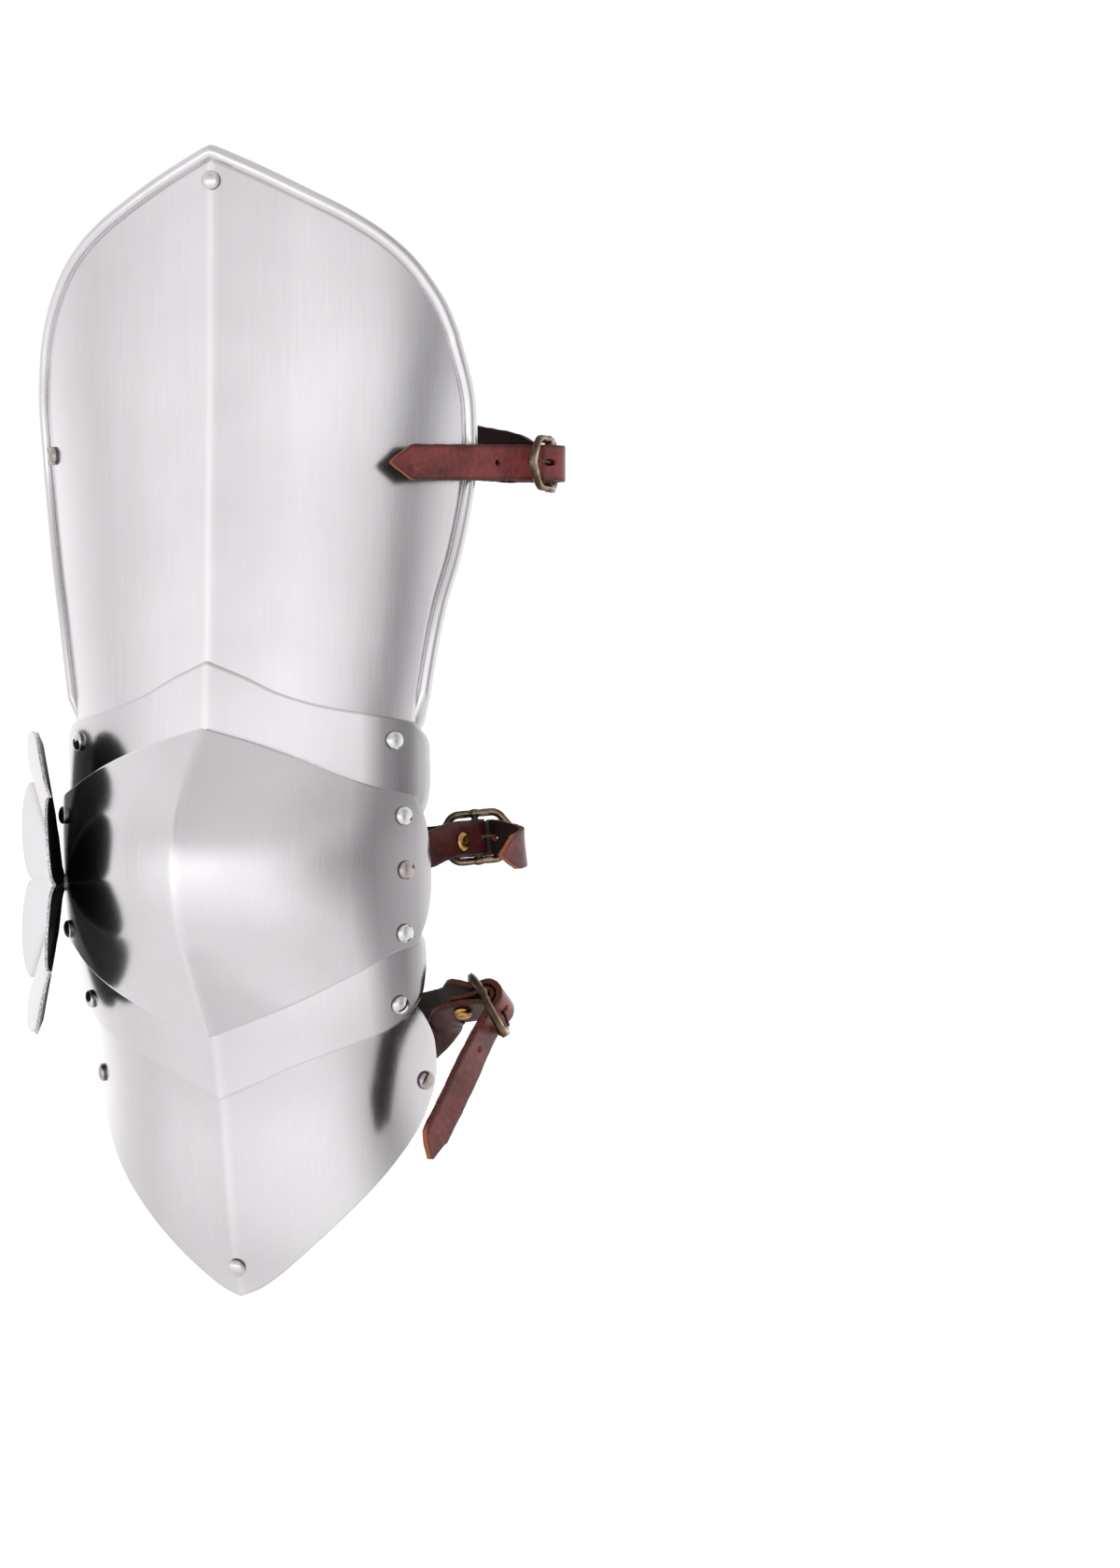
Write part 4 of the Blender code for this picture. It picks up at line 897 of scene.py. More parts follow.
def strap(name, table, thick, tip, holes, grain):
    """One strip of leather. Its flesh side is the route's own face for grain 1, else the other."""
    length = table[0][-1]
    piece = primitive(name, bpy.ops.mesh.primitive_grid_add,
                      x_subdivisions=int(length / 1.6), y_subdivisions=8, size=2.0)
    flat = get_points(piece) * MM
    along = (flat[:, 0] + 1) / 2 * length
    half = half_width(length - along, tip)
    wave = 0.10 * np.sin(along * 0.61) + 0.07 * np.sin(along * 1.37 + 1.0)
    points = np.stack([along, flat[:, 1] * (half + wave), 0 * along], axis=1)
    place_points(piece, points)
    apply_step(piece, "SOLIDIFY", thickness=thick * MM, offset=0.0)
    punch(piece, holes)
    break_edges(piece, 0.34, 50)
    lay_along(piece, table, thick, tip, grain)
    smooth(piece, 45)
    print("%s: %.0f mm long, %d triangles" % (name, length, triangles(piece)))
    return piece


# %% The three straps and their chapes
STRAP_TIP = 10.0
HOLE_SIZE = 3.2
HOLE_STEP = 21.0


def holes_from_tip(table, first, pin):
    """Round holes along the tail; the pin's own hole is a little longer."""
    crossing = near_station(table, pin)
    spots = [(table[0][-1] - first, HOLE_SIZE, 0.0), (crossing, 3.0, 4.6)]
    return spots + [(crossing - HOLE_STEP * k, HOLE_SIZE, 0.0) for k in (1, 2)]


for label, table, first, pin in (("thigh", thigh_table, 52.5, thigh_buckle.at(5.9, 2.8)),
                                 ("knee", knee_table, 24.0, knee_buckle.at(9.6, 2.6)),
                                 ("calf", calf_table, 52.5, calf_buckle.at(6.0, 2.8))):
    fine["strap_" + label] = strap(label + "_strap", table, STRAP_T, STRAP_TIP,
                                   holes_from_tip(table, first, pin), 1.0)
for node, rows, place, grain in (("chape_thigh", thigh_chape_rows, thigh_buckle, 1.0),
                                 ("chape_knee", knee_chape_rows, knee_fold, -1.0),
                                 ("chape_calf", calf_chape_rows, calf_fold, -1.0)):
    table = path_table(rows)
    slot = (near_station(table, place.at(0.0, 3.2)), 2.6, 10.5)
    fine[node] = strap(node + "_folded", table, CHAPE_T, 0.0, [slot], grain)

# %% [markdown]
# ## Buckles
# Each buckle is one casting: a long hexagon with a blunt point at each end, a centre bar that the
# chape wraps, and small collars where the two meet. Its bars have a crest, and both ends lean a
# little back. A torus with six sides to its section is pulled along the hexagon; the centre bar
# is a cylinder across it. Handling has worn the crests bright: the attribute called worn is 1
# there and on the two points.

# %% Sizes of a buckle and its centre line
FRAME_LONG = 38.0
FRAME_TALL = 24.4
FRAME_BAR = 1.9        # half the thickness of its bars
FRAME_BEND = 0.11      # how far both ends lean back
FRAME_FLAT = 8.4       # half the straight part of the long sides
FRAME_SHOULDER = (10.8, 1.3)
FRAME_STEPS = 112
CREST_TURN = math.radians(30.0)
BAR_R = 1.5


def frame_line():
    """Centre line of the frame, its corners softened."""
    long, tall = FRAME_LONG / 2 - FRAME_BAR - 0.1, FRAME_TALL / 2 - FRAME_BAR
    shoulder_x, shoulder_y = FRAME_SHOULDER[0], tall - FRAME_SHOULDER[1]
    half = [(long, 0.0), (shoulder_x, shoulder_y), (FRAME_FLAT, tall), (-FRAME_FLAT, tall),
            (-shoulder_x, shoulder_y)]
    corners = np.array(half + [(-x, -y) for x, y in half] + half[:1])
    run = np.concatenate([[0.0], np.cumsum(np.linalg.norm(np.diff(corners, axis=0), axis=1))])
    spots = np.linspace(0.0, run[-1], FRAME_STEPS, endpoint=False)
    line = np.stack([np.interp(spots, run, corners[:, k]) for k in (0, 1)], axis=1)
    for _ in range(2):
        line = (np.roll(line, 1, axis=0) + 2 * line + np.roll(line, -1, axis=0)) / 4
    return line


print("buckle's centre line: %d places" % len(frame_line()))


# %% Buckle pattern, lying flat: X along, Y along the bars, Z out of its face
def model_buckle():
    ring = primitive("buckle_pattern", bpy.ops.mesh.primitive_torus_add,
                     major_segments=FRAME_STEPS, minor_segments=6,
                     major_radius=10.0 * MM, minor_radius=1.0 * MM)
    points = get_points(ring)
    step = np.rint(np.arctan2(points[:, 1], points[:, 0]) * FRAME_STEPS / math.tau).astype(int)
    step %= FRAME_STEPS
    out, up = np.hypot(points[:, 0], points[:, 1]) - 10.0, points[:, 2]
    c, s = math.cos(CREST_TURN), math.sin(CREST_TURN)
    out, up = out * c - up * s, out * s + up * c
    line = frame_line()
    ahead = np.roll(line, -1, axis=0) - np.roll(line, 1, axis=0)
    ahead /= np.linalg.norm(ahead, axis=1)[:, None]
    spot, ahead = line[step], ahead[step]
    reach = np.abs(spot[:, 0])
    point = np.clip((reach - 12.5) / 4.0, 0, 1)
    collar = np.exp(-(reach / 1.3) ** 2) - 0.5 * np.exp(-((reach - 2.5) / 0.6) ** 2)
    size = FRAME_BAR * (1.0 + 0.20 * point ** 2 + 0.20 * collar)
    points[:, 0] = spot[:, 0] + ahead[:, 1] * out * size
    points[:, 1] = spot[:, 1] - ahead[:, 0] * out * size
    points[:, 2] = up * size * 0.95 - FRAME_BEND * reach
    place_points(ring, points)
    mark(ring, "worn", np.clip((up - 0.5) * 1.6 + 0.5 * point, 0, 1))
    primitive("centre_bar", bpy.ops.mesh.primitive_cylinder_add, vertices=16,
              radius=BAR_R * MM, depth=(FRAME_TALL - 2 * FRAME_BAR) * MM,
              rotation=(math.pi / 2, 0, 0))
    ring.select_set(True)
    bpy.context.view_layer.objects.active = ring
    bpy.ops.object.transform_apply()
    bpy.ops.object.join()
    break_edges(ring, 0.25, 35)
    smooth(ring, 30)
    return ring


buckle_pattern = model_buckle()
print("buckle: %d triangles" % triangles(buckle_pattern))


# %% Three buckles in their places
def stand_in_frame(piece, place):
    side = place.bars if place.along.cross(place.bars).dot(place.out) > 0 else -place.bars
    turn = Matrix((place.along, side, place.out)).transposed().to_4x4()
    piece.data.transform(Matrix.Translation(place.centre * MM) @ turn)


BUCKLES = (("thigh", thigh_buckle), ("knee", knee_buckle), ("calf", calf_buckle))
for label, place in BUCKLES:
    fine["buckle_" + label] = copy_of(buckle_pattern, label + "_buckle")
    stand_in_frame(fine["buckle_" + label], place)
bpy.data.objects.remove(buckle_pattern)
print("buckles:", ", ".join(label for label, place in BUCKLES))


# %% Tongues: an eye round the centre bar and a straight prong through the strap
PRONG_LONG = 15.3
PRONG_STEPS = 14
PRONG_R = 0.85
PRONG_SIDES = 12


def tongue(name, place):
    eye = BAR_R + GAP + 0.9
    turns = [math.radians(degrees) for degrees in range(-100, -271, -10)]
    route = [(eye * math.cos(turn), eye * math.sin(turn)) for turn in turns]
    for k in range(1, PRONG_STEPS + 1):
        along = PRONG_LONG * k / PRONG_STEPS
        out = np.interp(along, (0.0, 5.0, 9.5, PRONG_LONG), (eye, 2.9, 2.7, 1.7))
        route.append((along, out))
    rings = []
    for i, (along, out) in enumerate(route):
        before, after = route[max(0, i - 1)], route[min(len(route) - 1, i + 1)]
        ahead = Vector((after[0] - before[0], after[1] - before[1])).normalized()
        radius = PRONG_R - 0.3 * max(0.0, (i - 20) / PRONG_STEPS)
        ring = []
        for k in range(PRONG_SIDES):
            a = math.tau * k / PRONG_SIDES
            lift = radius * math.cos(a)
            ring.append(place.at(along - ahead.y * lift, out + ahead.x * lift,
                                 radius * math.sin(a)))
        rings.append(ring)
    piece = sweep(name, rings)
    smooth(piece, 50)
    return piece


for label, place in BUCKLES:
    fine["tongue_" + label] = tongue(label + "_tongue", place)
print("tongue: %d triangles" % triangles(fine["tongue_knee"]))

# %% [markdown]
# ## Brass rivets
# One brass tubular rivet closes each chape. Its head is low and has a shallow dimple, where the
# setting punch pressed it.

# %% Brass rivet
BRASS_GRIP = 6.5
BRASS_HEAD = ((0.0, 1.25), (0.9, 1.30), (1.7, 1.62), (2.4, 1.66), (3.1, 1.42), (3.7, 0.95),
              (4.0, 0.45), (3.85, 0.12), (1.5, 0.05))
BRASS_TAIL = ((1.5, 0.0), (2.3, -0.05), (2.2, -0.5), (1.5, -0.9), (0.0, -0.9))


def turned(name, profile):
    """Spin a profile of (radius, height) round Z, as on a lathe."""
    piece = from_points(name, [(r, 0.0, h) for r, h in profile],
                        [(i, i + 1) for i in range(len(profile) - 1)], [])
    edit(piece,
         lambda: bpy.ops.mesh.spin(steps=32, angle=math.tau, center=(0, 0, 0), axis=(0, 0, 1)),
         lambda: bpy.ops.mesh.select_all(action="SELECT"),
         lambda: bpy.ops.mesh.remove_doubles(threshold=0.000004),
         lambda: bpy.ops.mesh.normals_make_consistent(inside=False))
    smooth(piece, 50)
    return piece


profile = BRASS_HEAD + tuple((r, h - BRASS_GRIP) for r, h in BRASS_TAIL)
for label, place, spot, side in (("thigh", thigh_buckle, (3.1, -11.5), 1),
                                 ("knee", knee_fold, (-3.1, -14.4, -1.2), -1),
                                 ("calf", calf_fold, (3.1, -12.5, -1.5), 1)):
    fine["brass_" + label] = turned("brass_rivet_" + label, profile)
    fine["brass_" + label].data.transform(stand(place.at(*spot), place.along * side))
print("pieces so far:", len(fine))

# %% [markdown]
# ## Finishes
# The steel is polished to a satin, with fine brushing that runs up and down the leg. The inner
# faces keep the dark skin of the rolled sheet. Leather, brass and the cast buckles each get their
# own grain, edge and wear. Shader sums are written as Python expressions, one node per operator.

# %% Shader expressions
class Wire:
    """A shader value; arithmetic on it adds Math nodes."""

    def __init__(self, finish, socket):
        self.finish = finish
        self.socket = socket

    def maths(self, operation, *values, clamp=False):
        return self.finish.node("ShaderNodeMath", {"operation": operation, "use_clamp": clamp},
                                dict(enumerate(values))).out(0)

    def __add__(self, other):
        return self.maths("ADD", self, other)

    __radd__ = __add__

    def __mul__(self, other):
        return self.maths("MULTIPLY", self, other)

    __rmul__ = __mul__

    def __sub__(self, other):
        return self.maths("SUBTRACT", self, other)

    def __rsub__(self, other):
        return self.maths("SUBTRACT", other, self)

    def __truediv__(self, other):
        return self.maths("DIVIDE", self, other)

    def clip(self):
        return self.maths("ADD", self, 0.0, clamp=True)

    def size(self):
        return self.maths("ABSOLUTE", self)

    def positive(self):
        return self.maths("MAXIMUM", self, 0.0)

    def above(self, edge, width):
        """0 below edge, 1 above edge + width, straight between."""
        return ((self - edge) / width).clip()


class Made:
    """A node that was added; out gives one of its sockets as a value."""

    def __init__(self, finish, node):
        self.finish = finish
        self.node = node

    def out(self, key):
        return Wire(self.finish, self.node.outputs[key])


# %% One finish and the patterns that they share
class Finish:
    """One material, with its nodes and its shader."""

    def __init__(self, name, **shader):
        self.material = bpy.data.materials.new(name)
        self.material.use_nodes = True
        self.tree = self.material.node_tree
        self.shader = self.tree.nodes["Principled BSDF"]
        self.set(**shader)

    def node(self, kind, settings=None, values=None):
        made = self.tree.nodes.new(kind)
        for key, value in (settings or {}).items():
            setattr(made, key, value)
        for key, value in (values or {}).items():
            self.feed(made.inputs[key], value)
        return Made(self, made)

    def feed(self, socket, value):
        if isinstance(value, Wire):
            self.tree.links.new(value.socket, socket)
        else:
            socket.default_value = value

    def set(self, **sockets):
        for key, value in sockets.items():
            self.feed(self.shader.inputs[key.replace("_", " ")], value)

    def fed(self, key):
        """What a socket of the shader is fed with now."""
        return Wire(self, self.shader.inputs[key].links[0].from_socket)

    def place(self, stretch=(1.0, 1.0, 1.0)):
        where = self.node("ShaderNodeTexCoord").out("Object")
        return self.node("ShaderNodeMapping", {}, {"Vector": where, "Scale": stretch}).out(0)

    def noise(self, vector, scale, detail=2.0, rough=0.5):
        return self.node("ShaderNodeTexNoise", {}, {"Vector": vector, "Scale": scale,
                                                    "Detail": detail, "Roughness": rough}).out(0)

    def mix(self, factor, first, second):
        made = self.node("ShaderNodeMix", {"data_type": "RGBA"})
        sockets = [s for s in made.node.inputs if s.type == "RGBA"]
        self.feed(made.node.inputs[0], factor)
        self.feed(sockets[0], first if isinstance(first, Wire) else (*first, 1.0))
        self.feed(sockets[1], second if isinstance(second, Wire) else (*second, 1.0))
        return Wire(self, next(s for s in made.node.outputs if s.type == "RGBA"))

    def bump(self, height, distance, strength=1.0, over=None):
        values = {"Height": height, "Distance": distance, "Strength": strength}
        if over is not None:
            values["Normal"] = over
        return self.node("ShaderNodeBump", {}, values).out("Normal")

    def attribute(self, name):
        return self.node("ShaderNodeAttribute", {"attribute_name": name})


print("shader helpers ready")

# %% Satin steel, brushed up and down the leg
LIGHT_STEEL = (0.868, 0.850, 0.872)
COOL_STEEL = (0.808, 0.772, 0.800)


def toned(colour, tone):
    return tuple(value * tone for value in colour)


def satin_steel(name, light, cool, rough, brushing=1.0, waves=1.0):
    """Fine streaks and broad clouds between two greys; waves are the hammer's faint dents."""
    f = Finish(name, Metallic=1.0)
    plain = f.place()
    streak = f.noise(f.place((1.0, 1.0, 0.025)), 1500.0, 3.0, 0.6)
    broad = f.noise(f.place((1.0, 1.0, 0.15)), 55.0, 2.0)
    cloud = f.noise(plain, 14.0, 3.0, 0.55)
    band = f.noise(f.place((1.0, 1.0, 0.06)), 480.0, 3.0, 0.7)
    brushed = (streak - 0.5) * 1.1 + (band - 0.5) * 0.7
    blend = cloud * 1.6 - 0.3 + (broad - 0.5) * 0.7 + brushed * brushing
    f.set(Base_Color=f.mix(blend.clip(), cool, light))
    f.set(Roughness=rough + brushed * 0.07 * brushing + (cloud - 0.5) * 0.05)
    grain = f.bump(streak, 0.000025 * brushing, 0.5)
    f.set(Normal=f.bump(f.noise(plain, 32.0, 1.0, 0.4), 0.0006 * waves, 0.35, grain))
    return f


# %% [markdown]
# ### One steel, five plates
# Each plate was ground and polished on its own, so each has its own tone. What else differs
# follows the distance across from the ridge: a painted highlight runs along the ridge, painted
# shade lies beside it on the inner side, and the inner side of the knee plates carries painted
# dark reflection patches and a painted band of shade. A slight bump makes that side look fuller
# than the form, where the real plates turn away later than it does.
# Object coordinates give the distance, because every plate has its ridge at x = 0.

# %% Satin steel on the five plates, by the distance across from the ridge, in metres
PAINTED_RIDGE_HIGHLIGHT = (0.97, 0.96, 0.97)
PAINTED_REFLECTION_GREY = (0.46, 0.43, 0.45)
PAINTED_SIDE_SHADE_GREY = (0.26, 0.25, 0.26)
SIDE_START = 0.062       # where the side of a plate begins to turn away
FLARE_START = 0.068      # and where the thigh plate's inner edge flares
PLATE_LOOKS = {
    # tone, painted ridge highlight, fullness and painted shade of the inner side, where the side
    # ends
    "cuisse_plate": (1.0, 0.55, -0.10, 0.0, 0.075),
    "upper_lame": (0.94, 0.25, 0.17, 0.75, 0.075),
    "poleyn": (1.06, 0.20, 0.20, 0.50, 0.082),
    "lower_lame": (1.0, 0.08, 0.17, 0.60, 0.075),
    "shin_plate": (0.96, 0.06, 0.0, 0.0, 0.075),
}


def plate_colour(f, across, tone, ridge, painted_side_shade, edge):
    """Painted shade beside the ridge, painted dark reflection patches and shade at the side, a
    painted highlight on the ridge.
    """
    # painted shade on the inner side of the ridge, out to about 36 mm
    painted_shade_beside_ridge = across.above(0.0005, 0.003) * (1.0 - across.above(0.006, 0.030))
    base = f.mix(painted_shade_beside_ridge * 0.45, f.fed("Base Color"), toned(COOL_STEEL, tone * 0.85))
    if painted_side_shade:
        # painted dark reflection patches, cloudy, on the inner side
        painted_reflection_patch = f.noise(f.place((1.0, 1.0, 0.7)), 16.0, 2.0, 0.45).above(0.34, 0.42)
        base = f.mix(painted_reflection_patch * across.above(0.012, 0.05) * 0.34, base, PAINTED_REFLECTION_GREY)
        # painted band of shade near the inner edge
        side = across.above(SIDE_START, 0.008) * (1.0 - across.above(edge, 0.006))
        base = f.mix(side * painted_side_shade, base, PAINTED_SIDE_SHADE_GREY)
    # painted highlight along the ridge
    crest = 1.0 - (across + 0.0006).size().above(0.0003, 0.0020)
    f.set(Base_Color=f.mix(crest * ridge, base, PAINTED_RIDGE_HIGHLIGHT))


def plate_swell(f, across, full, edge):
    """Tilt the shading: a fuller side for full above 0, a flared edge for full below 0."""
    if full > 0:
        rise = across.above(0.022, 0.040)
        fall = across.above(edge, 0.012)
        swell = (rise * rise * 0.020 + (across - SIDE_START).positive() - fall * fall * 0.006) * full
    else:
        flare = (across - FLARE_START).positive()
        swell = flare * flare * (full * 30.0)
    f.set(Normal=f.bump(swell, 1.0, 1.0, f.fed("Normal")))


def plate_finish(name, tone, ridge, full, painted_side_shade, edge):
    f = satin_steel(name, toned(LIGHT_STEEL, tone), toned(COOL_STEEL, tone), 0.19)
    across = f.node("ShaderNodeSeparateXYZ", {}, {0: f.place()}).out(0)
    plate_colour(f, across, tone, ridge, painted_side_shade, edge)
    if full:
        plate_swell(f, across, full, edge)
    return f.material


FAN_TONE = 0.82
plate_steel = {name: plate_finish("satin_steel_" + name, *look)
               for name, look in PLATE_LOOKS.items()}
plate_steel["fan_plate"] = satin_steel("satin_steel_fan_plate", toned(LIGHT_STEEL, FAN_TONE),
                                       toned(COOL_STEEL, FAN_TONE), 0.21, 1.5, 1.6).material
print("plate finishes:", ", ".join(plate_steel))


# %% The other steels: unpolished insides, cut edges, and heads and rim with painted shade where they meet the plate
def raw_steel(name, dark, light, rough):
    f = Finish(name, Metallic=1.0)
    plain = f.place()
    scale = f.noise(plain, 70.0, 5.0, 0.65)
    f.set(Base_Color=f.mix(scale.above(0.35, 0.4), dark, light))
    f.set(Roughness=rough + (scale - 0.5) * 0.25)
    f.set(Normal=f.bump(f.noise(plain, 420.0, 3.0), 0.00012, 0.6))
    return f.material


def cut_edge(name):
    f = Finish(name, Metallic=1.0)
    marks = f.noise(f.place(), 1300.0, 4.0, 0.7)
    f.set(Base_Color=f.mix(marks.above(0.42, 0.16), (0.34, 0.33, 0.34), (0.86, 0.85, 0.86)))
    f.set(Roughness=0.24 + marks * 0.2)
    f.set(Normal=f.bump(marks, 0.0001, 0.7))
    return f.material


def steel_with_painted_crease_shade(name, light, cool, rough):
    """Polished steel with patchy painted shade where it meets the plate."""
    f = satin_steel(name, light, cool, rough, 0.6, 0.5)
    painted_crease_shade = f.attribute("painted_crease_shade").out("Fac")
    patchy_painted_shade = (painted_crease_shade * (f.noise(f.place(), 260.0, 3.0, 0.6) + 0.45)).clip()
    f.set(Base_Color=f.mix(patchy_painted_shade, f.fed("Base Color"), (0.12, 0.11, 0.115)))
    return f.material


rim_steel = steel_with_painted_crease_shade("rim_steel", (0.90, 0.89, 0.91), (0.78, 0.75, 0.77), 0.20)
rivet_steel = steel_with_painted_crease_shade("rivet_steel", (0.90, 0.89, 0.90), (0.76, 0.73, 0.74), 0.16)
dark_rivet = steel_with_painted_crease_shade("browned_rivet", (0.62, 0.58, 0.56), (0.42, 0.36, 0.34), 0.22)
inside_steel = raw_steel("unpolished_inside", (0.16, 0.155, 0.15), (0.34, 0.33, 0.32), 0.42)
# the wing's inside is near black, far darker than the other insides
wing_inside = raw_steel("near_black_inside", (0.012, 0.012, 0.012), (0.03, 0.03, 0.03), 0.45)
edge_steel = cut_edge("filed_edge")
print("steel finishes made")


# %% [markdown]
# ### Leather
# A strap is dyed before it is cut, so its cut edges and its holes show the undyed middle of the
# hide, and its flesh side is painted dark as shade. The attribute called lay tells the finish
# which of these it is on: its second number is the place across the strap and its third the place
# through it. The chapes are painted darker than the straps, as shade, with less coat.

# %% Leather
def grain_side(f, across, cloud, pore, crease, depth):
    """Dyed and cloudy, paler on its creases and rubbed dark along its edges."""
    # a depth below 1 darkens all these colours as painted shade, for the chapes
    face = f.mix(cloud.above(0.34, 0.30), toned((0.080, 0.012, 0.011), depth),
                 toned((0.250, 0.046, 0.042), depth))
    face = f.mix(crease.above(0.50, 0.2) * 0.4, face, toned((0.350, 0.095, 0.085), depth))
    rub = (across.size().above(0.74, 0.18) * pore.above(0.15, 0.4) * 0.85).clip()
    return f.mix(rub, face, toned((0.050, 0.010, 0.009), depth))


def painted_shade_flesh_side(f, cloud, pore):
    # painted shade: the flesh side is painted near black
    flesh = f.mix(cloud.above(0.35, 0.3), (0.008, 0.003, 0.003), (0.030, 0.010, 0.010))
    return f.mix(pore.above(0.45, 0.25) * 0.3, flesh, (0.065, 0.030, 0.028))


def cut_leather(f, across, pore, tip):
    """Burnished along the sides, fresh and orange at the point and in the holes."""
    side = across.size().above(0.955, 0.02)
    burnished = f.mix(pore.above(0.42, 0.2), (0.045, 0.013, 0.010), (0.19, 0.062, 0.036))
    fresh = f.mix(pore.above(0.35, 0.35), (0.26, 0.070, 0.026), (0.50, 0.19, 0.075))
    return f.mix(side, (0.36, 0.10, 0.05), f.mix(tip, burnished, fresh))


def strap_leather(name, depth):
    """Dyed hide: smooth grain side, flesh side painted dark as shade, cut edges and punched holes.
    """
    f = Finish(name, Specular_IOR_Level=0.12, Coat_Roughness=0.36)
    lay = f.attribute("lay").out("Vector")
    split = f.node("ShaderNodeSeparateXYZ", {}, {0: lay})
    across, through = split.out(1), split.out(2)
    cloud = f.noise(f.place(), 60.0, 4.0, 0.65)
    pore = f.noise(f.place(), 1900.0, 3.0, 0.6)
    bends = f.node("ShaderNodeMapping", {}, {"Vector": lay, "Scale": (1.0, 0.004, 0.0)}).out(0)
    crease = f.noise(bends, 420.0, 3.0, 0.6)
    inside = through.above(0.55, 0.1)
    cut = 1.0 - through.size().above(0.80, 0.12)
    skin = f.mix(inside, grain_side(f, across, cloud, pore, crease, depth),
                 painted_shade_flesh_side(f, cloud, pore))
    edge = cut_leather(f, across, pore, f.attribute("tip").out("Fac"))
    f.set(Base_Color=f.mix(cut, skin, edge))
    # a lower depth also thins the coat, part of the chapes' painted shade
    f.set(Coat_Weight=(1.0 - inside) * (1.0 - cut) * (0.15 + 0.6 * depth))
    f.set(Roughness=(0.36 + (pore - 0.5) * 0.2 + (cloud - 0.5) * 0.25
                     + inside * 0.35 + cut * 0.2).clip())
    folds = f.bump(crease, 0.0004, 0.45)
    f.set(Normal=f.bump(pore * (0.4 + cut + inside), 0.00014, 0.55, folds))
    return f.material


leather = strap_leather("strap_leather", 1.0)
# the chapes: the same leather painted darker as shade
chape_painted_shade_leather = strap_leather("chape_painted_shade_leather", 0.35)
print("leather made")


# %% [markdown]
# ### Brass
# The buckles are cast and were darkened all over. Wear has brought the metal back on their
# crests, which the attribute called worn marks. The rivets in the chapes stay golden.

# %% Brass and the cast buckles
def antique_brass(name):
    """Dark in its hollows, worn bright where the attribute says."""
    f = Finish(name, Metallic=1.0)
    plain = f.place()
    worn = f.attribute("worn").out("Fac")
    cloud = f.noise(plain, 260.0, 4.0, 0.65)
    fleck = f.noise(plain, 1500.0, 3.0, 0.7)
    shine = (worn * 0.9 + (cloud - 0.5) + (fleck - 0.5) * 0.5 - 0.05).clip()
    base = f.mix(shine, (0.085, 0.055, 0.035), (0.58, 0.43, 0.29))
    base = f.mix(worn.above(0.65, 0.3) * cloud.above(0.42, 0.14), base, (0.90, 0.80, 0.66))
    f.set(Base_Color=base, Roughness=0.38 - shine * 0.14 + (fleck - 0.5) * 0.15)
    f.set(Normal=f.bump(cloud, 0.0003, 0.35, f.bump(fleck, 0.00006, 0.5)))
    return f.material


def golden_brass(name):
    f = Finish(name, Metallic=1.0)
    plain = f.place()
    cloud = f.noise(plain, 300.0, 3.0, 0.6)
    f.set(Base_Color=f.mix(cloud.above(0.35, 0.3), (0.30, 0.15, 0.04), (0.68, 0.40, 0.13)))
    f.set(Roughness=0.26 + (cloud - 0.5) * 0.2)
    f.set(Normal=f.bump(f.noise(plain, 1100.0, 2.0), 0.00005, 0.5))
    return f.material


bronze = antique_brass("antique_brass_cast")
brass = golden_brass("golden_brass")
print("brass made")

# %% [markdown]
# ## Dressing the imported part
# Each fine piece stands for one imported node, rides on that node's body and takes its finish
# by the node's name. The rolled rim is part of the thigh plate and rides with it.

# %% Give each piece its finish, its body and its node
DARK_RIVETS = ("rivet_thigh_outer", "rivet_knee_inner", "rivet_calf_outer", "rivet_calf_inner")
body_of = {node: body for body, nodes in frame["record"]["behaviour"]["bodies"].items()
           for node in nodes}


FINISH_OF = {"strap": leather, "chape": chape_painted_shade_leather, "brass": brass, "buckle": bronze,
             "tongue": bronze, "rolled": rim_steel, "rivet": rivet_steel}


def finish_for(node):
    """The finishes of a piece; a plate has one for each of its three material slots."""
    if node in plate_steel:
        inner = wing_inside if node == "fan_plate" else inside_steel
        return [plate_steel[node], inner, edge_steel]
    return [dark_rivet if node in DARK_RIVETS else FINISH_OF[node.split("_")[0]]]


def dress(piece, looks):
    if len(piece.data.materials) == len(looks):
        for number, look in enumerate(looks):
            piece.data.materials[number] = look
        return
    piece.data.materials.clear()
    for look in looks:
        piece.data.materials.append(look)
    piece.data.polygons.foreach_set("material_index", [0] * len(piece.data.polygons))


for node, piece in fine.items():
    dress(piece, finish_for(node))
    if node in body_of:
        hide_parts(node)
        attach(piece, body_of[node])
    else:
        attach(piece, "thigh")
print("dressed %d pieces, %d triangles" % (len(fine), sum(triangles(p) for p in fine.values())))

# %% [markdown]
# ## Floor, light and camera
# Polished steel shows what is around it, so the light gives it its look. The piece stands in a
# white tent with a darker gap at the inner side of the leg, which gives the plates their grey
# bands. The floor is plain and pale. The camera looks level at the front of the knee, turned a
# little to the inner side of the leg.

# %% Floor
floor = primitive("studio_floor", bpy.ops.mesh.primitive_circle_add, vertices=96, radius=0.36,
                  fill_type="NGON", location=(0, 0, -0.90))
paint = Finish("pale_floor", Base_Color=(0.97, 0.97, 0.97, 1.0), Roughness=0.8)
floor.data.materials.append(paint.material)
print("floor at", floor.location.z, "m")

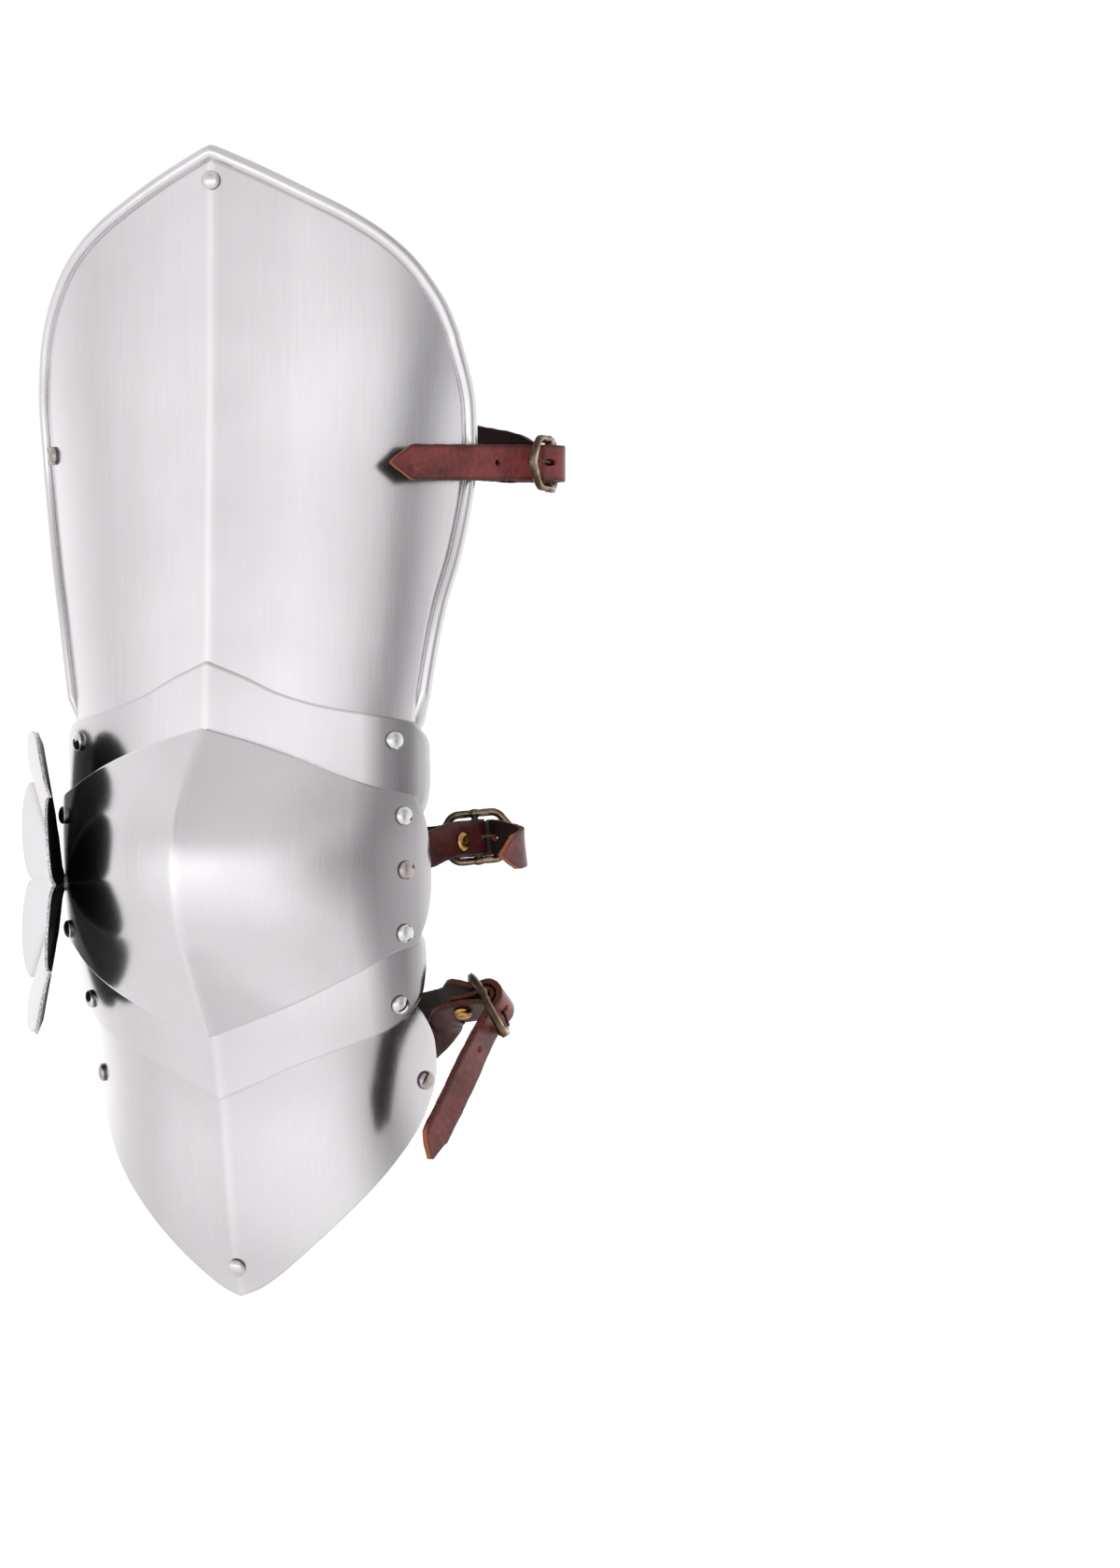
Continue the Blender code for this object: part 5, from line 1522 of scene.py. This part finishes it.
# %% Light tent: brightness by direction round the leg, from the front
TENT = (
    # degrees from the front, towards the inner side of the leg; brightness at the heights below
    (-180, 1.10, 1.12, 1.14, 1.13, 1.12), (-150, 0.95, 1.00, 1.14, 1.11, 1.01),
    (-122, 0.82, 0.85, 1.10, 1.04, 0.90), (-100, 0.77, 0.76, 0.90, 0.86, 0.81),
    (-80, 0.79, 0.76, 0.76, 0.71, 0.77), (-60, 0.83, 0.84, 0.99, 0.73, 0.76),
    (-40, 0.82, 0.94, 1.30, 0.76, 0.64), (-20, 0.82, 1.02, 1.40, 0.73, 0.56),
    (0, 0.84, 1.04, 1.36, 0.66, 0.58), (15, 0.86, 1.02, 1.32, 0.74, 0.68),
    (30, 0.85, 1.00, 1.15, 0.73, 0.70), (42, 0.80, 0.96, 0.95, 0.68, 0.63),
    (52, 0.75, 0.84, 0.66, 0.62, 0.52), (62, 0.70, 0.66, 0.34, 0.52, 0.40),
    (70, 0.70, 0.54, 0.29, 0.44, 0.34), (79, 0.72, 0.58, 0.54, 0.50, 0.40),
    (90, 0.76, 0.72, 0.86, 0.66, 0.48), (105, 0.80, 0.80, 0.94, 0.76, 0.58),
    (125, 0.89, 0.86, 0.96, 0.84, 0.80),
    (150, 0.99, 0.98, 1.02, 0.97, 0.97), (180, 1.10, 1.12, 1.14, 1.13, 1.12),
)
RINGS = len(TENT[0]) - 1
HEIGHTS = (-0.77, -0.42, -0.08, 0.25, 0.60, 0.95)     # of the rings, then of the roof
OVERHEAD = 0.66
BRIGHTEST = 1.4
print("light tent of %d rings and a roof" % RINGS)

# %% The tent's nodes
world = bpy.data.worlds.new("light_tent")
bpy.context.scene.world = world
world.use_nodes = True
tent = world.node_tree
sky = tent.nodes["Background"]


def tent_node(kind, settings, *feeds):
    made = tent.nodes.new(kind)
    for key, value in settings.items():
        setattr(made, key, value)
    for number, feed in enumerate(feeds):
        if isinstance(feed, (int, float)):
            made.inputs[number].default_value = feed
        elif feed is not None:
            tent.links.new(feed, made.inputs[number])
    return made.outputs[0]


def tent_ring(where, column):
    """One ring of light round the leg, from one column of the table."""
    ramp = tent.nodes.new("ShaderNodeValToRGB")
    tent.links.new(where, ramp.inputs[0])
    ramp.color_ramp.interpolation = "LINEAR"
    points = ramp.color_ramp.elements
    while len(points) < len(TENT):
        points.new(0.5)
    for point, row in zip(points, TENT):
        point.position = row[0] / 360.0 + 0.5
        shade = row[column] / BRIGHTEST
        point.color = (shade, shade, shade, 1.0)
    return ramp.outputs[0]


print("brightest light: %.2f" % max(max(row[1:]) for row in TENT))

# %% Mix the rings by height
way = tent.nodes.new("ShaderNodeSeparateXYZ")
tent.links.new(tent.nodes.new("ShaderNodeTexCoord").outputs["Generated"], way.inputs[0])
back = tent_node("ShaderNodeMath", {"operation": "MULTIPLY"}, way.outputs[1], -1.0)
angle = tent_node("ShaderNodeMath", {"operation": "ARCTAN2"}, way.outputs[0], back)
turn = tent_node("ShaderNodeMath", {"operation": "MULTIPLY_ADD"}, angle, 1.0 / math.tau, 0.5)
light = tent_ring(turn, 1)
for column, (start, end) in enumerate(zip(HEIGHTS, HEIGHTS[1:]), 2):
    share = tent_node("ShaderNodeMapRange", {}, way.outputs[2], start, end, 0.0, 1.0)
    ring = tent_ring(turn, column) if column <= RINGS else OVERHEAD / BRIGHTEST
    light = tent_node("ShaderNodeMix", {"data_type": "FLOAT"}, share, None, light, ring)
tent.links.new(light, sky.inputs["Color"])
sky.inputs["Strength"].default_value = BRIGHTEST
print("tent of %d nodes" % len(tent.nodes))

# %% Camera, level, in the height of the lame above the knee
camera_data = bpy.data.cameras.new("camera")
camera_data.lens = 83.6
camera_data.sensor_width = 36.0
camera = bpy.data.objects.new("camera", camera_data)
bpy.context.scene.collection.objects.link(camera)
camera.location = (0.60645, -1.48643, -0.1435)
camera.rotation_euler = (math.radians(90.0), 0.0, math.radians(17.5))
bpy.context.scene.camera = camera
bpy.context.scene.view_settings.view_transform = "Standard"
print("camera at", tuple(round(v, 3) for v in camera.location))
